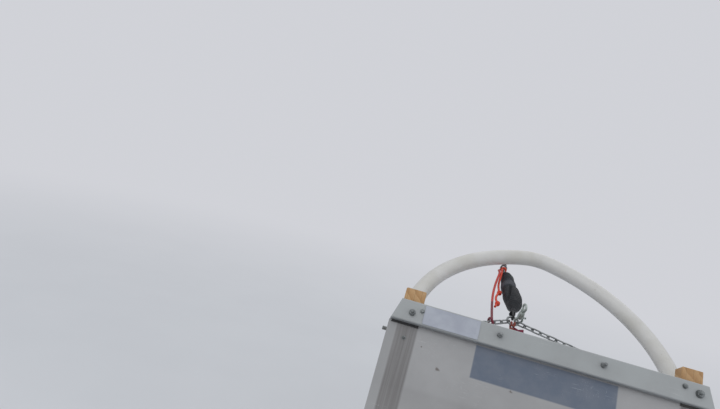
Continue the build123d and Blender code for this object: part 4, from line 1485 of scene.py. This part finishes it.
@dataclass
class Bridle:
    """Chain bridle with its ring, shock absorber, snap, rope loops and safety cord.

    The bridle's plane has X across, Y forward along its rise and Z out of it. The pull has its own axes: along
    it from the ring to the eye under the bow, to its left, and above it, towards the rider.

    Args:
        nose: The straight end of the bed line.
        steel: Finish of the chain and the small steel pieces.
        zinc: Finish of the snap.
        rise: Slope of the bridle's plane in degrees.
        eye_half: Half the distance between the eye plates.
        eye_reach: Distance from their bend to their holes.
        links: Number of links in the left and in the right leg.
        link_step: Distance from one link's middle to the next.
        link_half: Distance from a link's middle to the centres of its half circles.
        link_end: Radius of those half circles.
        link_wire: Diameter of the links' wire.
        ring_hold: Distance from the ring's middle to the first link's middle.
        eye_hold: Distance from the last link's middle to the eye's hole.
        ring_radius: Radius of the ring's middle line.
        wire: Diameter of the wire of ring, snap, front link and bow's eye.
        eye_radius: Radius of the bow's eye, and of the snap's.
        gap: Free space between pieces that hang in each other.
        front_length: Length of the front link's straight sides.
        sleeve_start: Where the sleeve starts along the pull.
        loop_leg: Length of the front loop's legs.
        rope: Diameter of the rope loops.
        hitch_half: Half the distance between the hitch's two wraps round the ring.
        cord: Diameter of the safety cord.
        cord_points: Inner points of the cord's route, in the pull's axes.
        strand_points: Points of the second strand's route, in the same axes.
        knots: Each knot's distance along the pull, distance to its left, and lean.
    """

    nose: NoseFrame
    steel: MetalFinish
    zinc: MetalFinish
    rise: float = 30.0
    eye_half: float = 0.175
    eye_reach: float = 0.021
    links: tuple[int, int] = (7, 15)
    link_step: float = 0.0156
    link_half: float = 0.0055
    link_end: float = 0.004
    link_wire: float = 0.003
    ring_hold: float = 0.0166
    eye_hold: float = 0.0122
    ring_radius: float = 0.011
    wire: float = 0.004
    eye_radius: float = 0.0065
    gap: float = 0.0004
    front_length: float = 0.018
    sleeve_start: float = 0.013
    loop_leg: float = 0.009
    rope: float = 0.004
    hitch_half: float = 0.003
    cord: float = 0.005
    cord_points: tuple[Triple, ...] = (
        (0.205, 0.013, 0.014), (0.162, 0.023, 0.002), (0.101, 0.033, -0.001), (0.036, 0.039, -0.0035))
    strand_points: tuple[Triple, ...] = (
        (0.2425, 0.0042, 0.0096), (0.205, 0.0088, 0.0104), (0.1616, 0.0170, -0.0036),
        (0.110, 0.0190, 0.0005), (0.078, 0.0300, -0.0010), (0.046, 0.0270, 0.0), (0.030, 0.0335, -0.0010))
    knots: tuple[Triple, ...] = ((0.107, 0.0190, 0.12), (0.046, 0.0275, 0.15))

    def __post_init__(self) -> None:
        """Work out the bridle's plane, the ring's place and the line of pull."""
        turn = radians(self.rise)
        self.plane = np.array([[1, 0, 0], [0, cos(turn), sin(turn)], [0, -sin(turn), cos(turn)]])
        self.root = self.nose.point(0.0, 0.032, -0.0015)
        left, right = [(count - 1) * self.link_step + self.ring_hold + self.eye_hold for count in self.links]
        x = (left**2 - right**2) / (4 * self.eye_half)
        self.ring = np.array([x, self.eye_reach + (left**2 - (x + self.eye_half) ** 2) ** 0.5, 0.0])
        self.start = self.root + (self.ring + [0, self.ring_radius, 0]) @ self.plane
        low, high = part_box("bow_eye")
        height = low.z + self.wire / 2 + self.eye_radius
        self.eye = np.array([(low.x + high.x) / 2, (low.y + high.y) / 2, height])
        self.eye_top = high.z
        pull = self.eye - [0, 0, self.eye_radius] - self.start
        self.length = float(np.linalg.norm(pull))
        along = unit(pull)
        left = unit(np.cross(UP, along))
        self.axes = np.stack([along, left, np.cross(along, left)])

    @property
    def sleeve_end(self) -> float:
        """Where the sleeve ends along the pull."""
        return self.length - self.front_length - self.wire - 2 * self.gap - self.loop_leg

    @property
    def link_reach(self) -> float:
        """Distance from the front link's middle line to its middle plane."""
        return self.wire + 2 * self.gap

    @property
    def wrap_radius(self) -> float:
        """Radius at which the rope goes round a wire."""
        return (self.rope + self.wire) / 2 + 2 * self.gap

    def place(self, points: Any) -> np.ndarray:
        """Points in the pull's axes, in the model's frame."""
        return self.start + np.asarray(points, float) @ self.axes

    def link_frame(self, side: int, index: int) -> tuple[np.ndarray, np.ndarray]:
        """Where a link lies.

        Args:
            side: -1 for the left leg, 1 for the right one.
            index: Its number from the ring.

        Returns:
            Its middle, and its axes: along its leg, across it, and out of the link's own plane.
        """
        along = unit(np.array([side * self.eye_half, self.eye_reach, 0.0]) - self.ring)
        out = np.cross(UP, along) if index % 2 == 0 else UP
        middle = self.root + (self.ring + (self.ring_hold + index * self.link_step) * along) @ self.plane
        return middle, np.stack([along, np.cross(out, along), out]) @ self.plane

    def build_chain(self) -> None:
        """Links of round wire, each a quarter turn from the next, and the ring where both legs meet."""
        solid = Solid()
        flat = oval(self.link_half, self.link_end, 8)
        for side, count in zip((-1, 1), self.links):
            for index in range(count):
                middle, axes = self.link_frame(side, index)
                solid.tube(middle + flat @ axes[:2], self.link_wire / 2, 8, axes[2], True)
        settle(solid.piece("chain_links"), self.steel, "bridle_chain", 80.0)
        solid = Solid()
        flat = circle(self.ring_radius, 40, (self.ring[0], self.ring[1]))
        solid.tube(self.root + flat @ self.plane[:2], self.wire / 2, 14, self.plane[2], True)
        settle(solid.piece("ring_wire"), self.steel, "bridle_ring", 80.0)
        self.steel.dress_nodes("bridle_eyes")

    def build_front_fittings(self) -> None:
        """Oval link with its screwed nut, and the eye bolt under the bow."""
        solid = Solid()
        flat = oval(self.front_length / 2, self.link_reach, 13)
        middle = self.length - self.front_length / 2
        path = self.place(np.stack([middle + flat[:, 0], np.zeros(len(flat)), flat[:, 1]], axis=-1))
        solid.tube(path, self.wire / 2, 12, self.axes[1], True)
        foot = self.place((self.length - 0.0156, 0.0, self.link_reach))
        axes = np.stack([self.axes[1], self.axes[2], self.axes[0]])
        solid.turned(foot, axes, [(0, 0.0028), (0.0006, 0.0034), (0.0064, 0.0034), (0.007, 0.0028)], 6)
        settle(solid.piece("front_link_wire"), self.steel, "front_link")
        solid = Solid()
        path = self.eye + circle(self.eye_radius, 32) @ np.stack([RIGHT, UP])
        solid.tube(path, self.wire / 2, 12, FORWARD, True)
        top = self.eye_top - self.eye[2] - self.eye_radius
        shank = self.eye + [0, 0, self.eye_radius]
        solid.turned(shank, np.eye(3), [(-0.001, 0.0022), (0.001, 0.003), (top, 0.003)], 20)
        nut = [(0, 0.0047), (0.0005, 0.0052), (0.0032, 0.0052)]
        solid.turned(shank + [0, 0, top - 0.0042], np.eye(3), nut, 6)
        settle(solid.piece("bow_eye_bolt"), self.steel, "bow_eye")

    def build_snap(self) -> None:
        """Swivel snap on the ring: hook, bolt with its thumb knob, body, neck and eye."""
        place, lean = radians(72.0), radians(88.0)
        outward = np.array([sin(place), cos(place), 0.0])
        body = cos(lean) * outward + sin(lean) * UP
        side = cos(lean) * UP - sin(lean) * outward
        axes = np.stack([body, side, np.cross(body, side)]) @ self.plane
        base = self.root + (self.ring + self.ring_radius * outward) @ self.plane
        radius, shift = 0.0075, 0.0027
        solid = Solid()
        steps = 34
        hook = arc((shift, 0.0), radius, 0.0, radians(298.0), steps)
        widths = np.interp(np.arange(steps), [0, 8, steps - 1], [0.0032, 0.0022, 0.0019])
        solid.tube(base + hook @ axes[:2], widths, 14, axes[2])
        turned = np.stack([axes[1], axes[2], axes[0]])
        top = shift + radius
        profile = [
            (-0.002, 0.0036), (0.0, 0.0052), (0.0016, 0.0057), (0.006, 0.0060), (0.012, 0.0057),
            (0.0150, 0.0048), (0.0165, 0.0034), (0.0182, 0.0034), (0.0186, 0.0050), (0.0206, 0.0050),
            (0.0212, 0.0030)]
        solid.turned(base + top * axes[0], turned, profile, 24)
        bolt = base + hook[-1] @ axes[:2]
        solid.turned(bolt, turned, [(-0.0004, 0.0015), (0.008, 0.0015)], 12)
        knob = [(0, 0.0012), (0.003, 0.0012), (0.0034, 0.0024), (0.005, 0.0020)]
        knob_axes = np.stack([axes[2], -axes[0], -axes[1]])
        solid.turned(bolt + 0.0035 * axes[0] - 0.001 * axes[1], knob_axes, knob, 12)
        middle = top + profile[-1][0] + self.eye_radius
        eye = circle(self.eye_radius, 32, (middle, 0.0))
        solid.tube(base + eye @ np.stack([axes[0], axes[2]]), self.wire / 2, 12, axes[1], True)
        settle(solid.piece("swivel_snap"), self.zinc, "bridle_snap")

    def build_sleeve(self) -> None:
        """Gathered, wrinkled sleeve that bulges to the right above its tip.

        At distance s and angle a its wall is radius(s) * (1 + ribs + folds + wrinkles - crease) from a middle
        line that moves to the right by shift(s). The table gives s, radius and shift in millimetres. Ribs are
        a cosine of s, folds and wrinkles products of cosines of a and s, and the crease is a bell curve of a
        about an angle that falls from 76 to 20 degrees down the bulge.
        """
        table = np.array([
            (13, 6.3, 0), (20, 5.6, 1.5), (32, 5.9, 3.6), (44, 9.8, 5.8), (56, 14.2, 7.8), (68, 16.6, 9),
            (80, 17.8, 9), (96, 18.7, 7.8), (110, 18.1, 7.2), (123, 17.2, 6.6), (129, 16, 5.4),
            (135, 15.3, 4.6), (139, 16.4, 4.6), (161, 16.4, 5.4), (165, 15.3, 5.8), (196, 14.4, 6),
            (208, 13.7, 5.6), (216, 12.7, 5), (219.5, 11.4, 4.2), (1000 * self.sleeve_end, 9, 3.4)]) / 1000
        rows, columns = 260, 72
        run = np.linspace(self.sleeve_start, self.sleeve_end, rows)[:, None]
        angle = (2 * pi * np.arange(columns) / columns)[None, :]
        radius = np.interp(run, table[:, 0], table[:, 1])
        shift = np.interp(run, table[:, 0], table[:, 2])
        fade = np.clip(np.minimum(run - self.sleeve_start, self.sleeve_end - run) / 0.012, 0, 1)
        ribs = 0.012 * np.cos(2 * pi * run / 0.0062)
        folds = 0.022 * np.cos(3 * angle + 90 * run) * np.cos(2 * pi * run / 0.041 + 1.0)
        wrinkles = 0.016 * np.cos(5 * angle - 160 * run + 0.7)
        middle = np.radians(np.interp(run, [0.068, 0.084, 0.110, 0.129], [20, 42, 62, 76]))
        inside = np.clip((run - 0.058) / 0.015, 0, 1) * np.clip((0.136 - run) / 0.012, 0, 1)
        dip = 0.36 * np.exp(-(((angle - middle) / 0.20) ** 2))
        swell = 0.08 * np.exp(-(((angle - middle - 0.75) / 0.45) ** 2))
        crease = inside * (dip - swell)
        radius = radius * (1 + fade * (ribs + folds + wrinkles) - crease)
        points = np.stack(np.broadcast_arrays(
            run, radius * np.cos(angle) - shift, radius * np.sin(angle)), axis=-1)
        path = self.place(np.stack([run[:, 0], -shift[:, 0], 0 * run[:, 0]], axis=-1))
        piece = tube_piece("woven_sleeve", self.place(points), path)
        settle(piece, SleeveFinish("woven_sleeve"), "shock_sleeve", 60.0)

    def hairpin(self, middle: float, leg: float, way: int, upright: bool) -> np.ndarray:
        """Two legs joined by a half circle round a point on the pull.

        Args:
            middle: Distance of the half circle's centre along the pull.
            leg: Length of the legs.
            way: 1 if the half circle faces forward, -1 if it faces back.
            upright: Whether it stands in the plane of the pull and the vertical.

        Returns:
            Points in the model's frame.
        """
        radius = self.wrap_radius
        steps = np.linspace(1.0, 0.0, 9)[:-1]
        legs = np.stack([-leg * steps, np.full(8, -radius)], axis=-1)
        flat = np.concatenate([legs, arc((0, 0), radius, -pi / 2, pi / 2, 25), legs[::-1] * [1, -1]]) * [way, 1]
        zero = np.zeros(len(flat))
        pair = (zero, flat[:, 1]) if upright else (flat[:, 1], zero)
        return self.place(np.stack([middle + flat[:, 0], *pair], axis=-1))

    def build_ropes(self) -> None:
        """Plaited rope loops at both ends of the sleeve, and the rope end hitched on the ring's rear."""
        red = PlaitFinish("red_rope", (0.55, 0.055, 0.075), (0.34, 0.02, 0.04), 8.0, 0.0032)
        black = PlaitFinish("black_rope", (0.022, 0.023, 0.026), (0.012, 0.012, 0.014), 8.0, 0.0032)
        inside = 0.004
        front = self.sleeve_end + self.loop_leg
        loops = (
            ("rear_loop", black, self.hairpin(0.0, self.sleeve_start + inside, -1, True)),
            ("front_loop", red, self.hairpin(front, self.loop_leg + inside, 1, False)),
        )
        for name, finish, path in loops:
            settle(tube(name, path, self.rope / 2, 20, self.axes[1]), finish, "rope_loops")
        rear = self.root + (self.ring - [0, self.ring_radius, 0]) @ self.plane
        wrap = arc((0, 0), self.wrap_radius, -pi / 2, pi, 26)
        left = np.insert(wrap, 0, -self.hitch_half, axis=1)
        tails = np.array([[(0.0010, -0.0115, -0.0075), (-0.0015, -0.0075, -0.0085)],
                          [(0.0215, -0.0085, -0.0055), (0.0115, -0.0055, -0.0075)]])
        path = np.concatenate([tails[0], left, (left * [-1, 1, 1])[::-1], tails[1][::-1]])
        widths = np.full(len(path), 0.0020)
        widths[:2] = 0.0046, 0.0036
        widths[-2:] = 0.0030, 0.0046
        piece = tube("hitch_rope", rear + path, widths, 18, RIGHT)
        hitch = PlaitFinish("hitch_rope", (0.36, 0.075, 0.045), (0.21, 0.03, 0.03), 8.0, 0.0032,
                            (0.20, 0.010, 0.05), 0.045)
        settle(piece, hitch, "ring_hitch")

    def coil(self, middle: np.ndarray, along: np.ndarray) -> np.ndarray:
        """Middle line of a knot: two turns of rope round the cord, drawn in at both ends.

        A point lies at middle + half * (t - 1) * along + r * (cos(2 pi t) * side + sin(2 pi t) * other),
        for t from 0 to 2, with r = girth * sin(pi t / 2) ** 0.4.

        Args:
            middle: The knot's middle.
            along: Direction of the cord there.

        Returns:
            Points of the line.
        """
        side = unit(np.cross(along, [0.3, 0.2, 1.0]))
        other = np.cross(along, side)
        half, girth = 0.0045, 0.0034
        turns = np.linspace(0.0, 2.0, 44)[:, None]
        radius = girth * np.abs(np.sin(pi * turns / 2)) ** 0.4
        return middle + half * (turns - 1) * along + radius * (
            np.cos(2 * pi * turns) * side + np.sin(2 * pi * turns) * other)

    def smooth_line(self, points: np.ndarray, name: str) -> np.ndarray:
        """Points along a NURBS curve of order three that starts and ends at its control points.

        Args:
            points: Its control points.
            name: Name of the curve while it is there.

        Returns:
            The curve's points, 24 for each of its spans.
        """
        data = bpy.data.curves.new(name, "CURVE")
        data.dimensions = "3D"
        spline = data.splines.new("NURBS")
        spline.points.add(len(points) - 1)
        for target, point in zip(spline.points, points):
            target.co = (*point, 1.0)
        spline.order_u = 3
        spline.use_endpoint_u = True
        spline.resolution_u = 24
        curve = bpy.data.objects.new(name, data)
        mesh = bpy.data.meshes.new_from_object(curve)
        line = np.zeros(3 * len(mesh.vertices))
        mesh.vertices.foreach_get("co", line)
        bpy.data.meshes.remove(mesh)
        bpy.data.objects.remove(curve)
        bpy.data.curves.remove(data)
        return line.reshape(-1, 3)

    def knotted_pieces(self) -> list[bpy.types.Object]:
        """Second, thinner strand beside the cord, with a knot near its middle and one near its end.

        Returns:
            The strand and its knots.
        """
        line = self.smooth_line(self.place(self.strand_points), "second_line")
        pieces = [tube("second_strand", line, 0.47 * self.cord, 20, self.axes[2])]
        for index, (run, left, lean) in enumerate(self.knots):
            knot = self.coil(self.place((run, left, 0.0003)), unit(np.array([-1.0, lean, 0.0]) @ self.axes))
            pieces.append(tube(f"knot_{index}", knot, 0.0021, 14, self.axes[2]))
        return pieces

    def build_cord(self) -> None:
        """Safety cord from the front link to the chain, with its loops and the knotted strand."""
        front = np.array([self.length - 0.004, 0.0, 0.0])
        reach = (self.wire + self.cord) / 2 + self.gap
        half = self.link_reach
        seat, seat_axes = self.link_frame(-1, 2)
        lower = self.link_end + (self.link_wire + self.cord) / 2 + self.gap
        end = (seat - self.start) @ self.axes.T + [0, 0, lower]
        route = np.array([front + [0, half + reach, 0], *self.cord_points, end])
        path = self.smooth_line(self.place(route), "cord_line")
        length = float(distances(path)[-1])
        log.info("safety cord: %.1f mm from %s", 1000 * length, path[0].round(4))
        orange = PlaitFinish("orange_cord", (0.74, 0.055, 0.03), (0.52, 0.03, 0.03), 8.0, 0.0036,
                             soiled_from=0.68 * length)
        knotted = PlaitFinish("orange_knots", (0.92, 0.085, 0.02), (0.70, 0.035, 0.02), 8.0, 0.0036)
        soiled = PlaitFinish("soiled_cord", (0.26, 0.022, 0.045), (0.17, 0.014, 0.035), 8.0, 0.0036)
        strand = tube("safety_strand", path, self.cord / 2, 20, self.axes[2])
        settle(strand, orange, "safety_cord")
        around = np.concatenate([
            arc((half, 0.0), reach, -pi / 2, 0.35 * pi, 14), [(0.0, half + reach)],
            arc((-half, 0.0), reach, 0.65 * pi, 1.5 * pi, 14)])
        teardrop = self.place(front - [0.0014, 0, 0] + np.insert(around[:, ::-1], 0, 0.0, axis=1))
        below = seat + circle(lower, 32) @ seat_axes[1:]
        pieces = self.knotted_pieces()
        pieces.append(tube("front_cord_loop", teardrop, self.cord / 2, 18, self.axes[0], True))
        pieces.append(tube("chain_cord_loop", below, self.cord / 2, 18, seat_axes[0], True))
        for piece in pieces:
            finish = soiled if piece.name == "chain_cord_loop" else knotted
            settle(piece, finish, "safety_cord", 60.0)

    def build(self) -> None:
        """Make and dress every piece of the bridle."""
        self.build_chain()
        self.build_front_fittings()
        self.build_snap()
        self.build_sleeve()
        self.build_ropes()
        self.build_cord()


def main() -> None:
    """Build the looks in order."""
    logging.basicConfig(level=logging.INFO, format="%(name)s: %(message)s")
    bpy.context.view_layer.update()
    for build in (build_grain_group, build_scuff_group, build_mottle_group, build_weave_group):
        build()
    nose = NoseFrame()
    steel = MetalFinish("galvanised_steel", (0.40, 0.42, 0.42), (0.20, 0.21, 0.215), 0.42)
    # Darker copy of the plated steel; on the crosspiece's end nuts it is painted shade.
    dark = MetalFinish("dark_steel", (0.29, 0.31, 0.31), (0.14, 0.15, 0.15), 0.48)
    Studio(nose).build()
    Frame(nose).build()
    Bows(nose).build()
    ClawBrake(steel).build()
    Fasteners(nose, steel, dark).build()
    Bridle(nose, steel, MetalFinish("weathered_zinc", (0.50, 0.55, 0.52), (0.33, 0.37, 0.35), 0.5)).build()


if __name__ == "__main__":
    main()
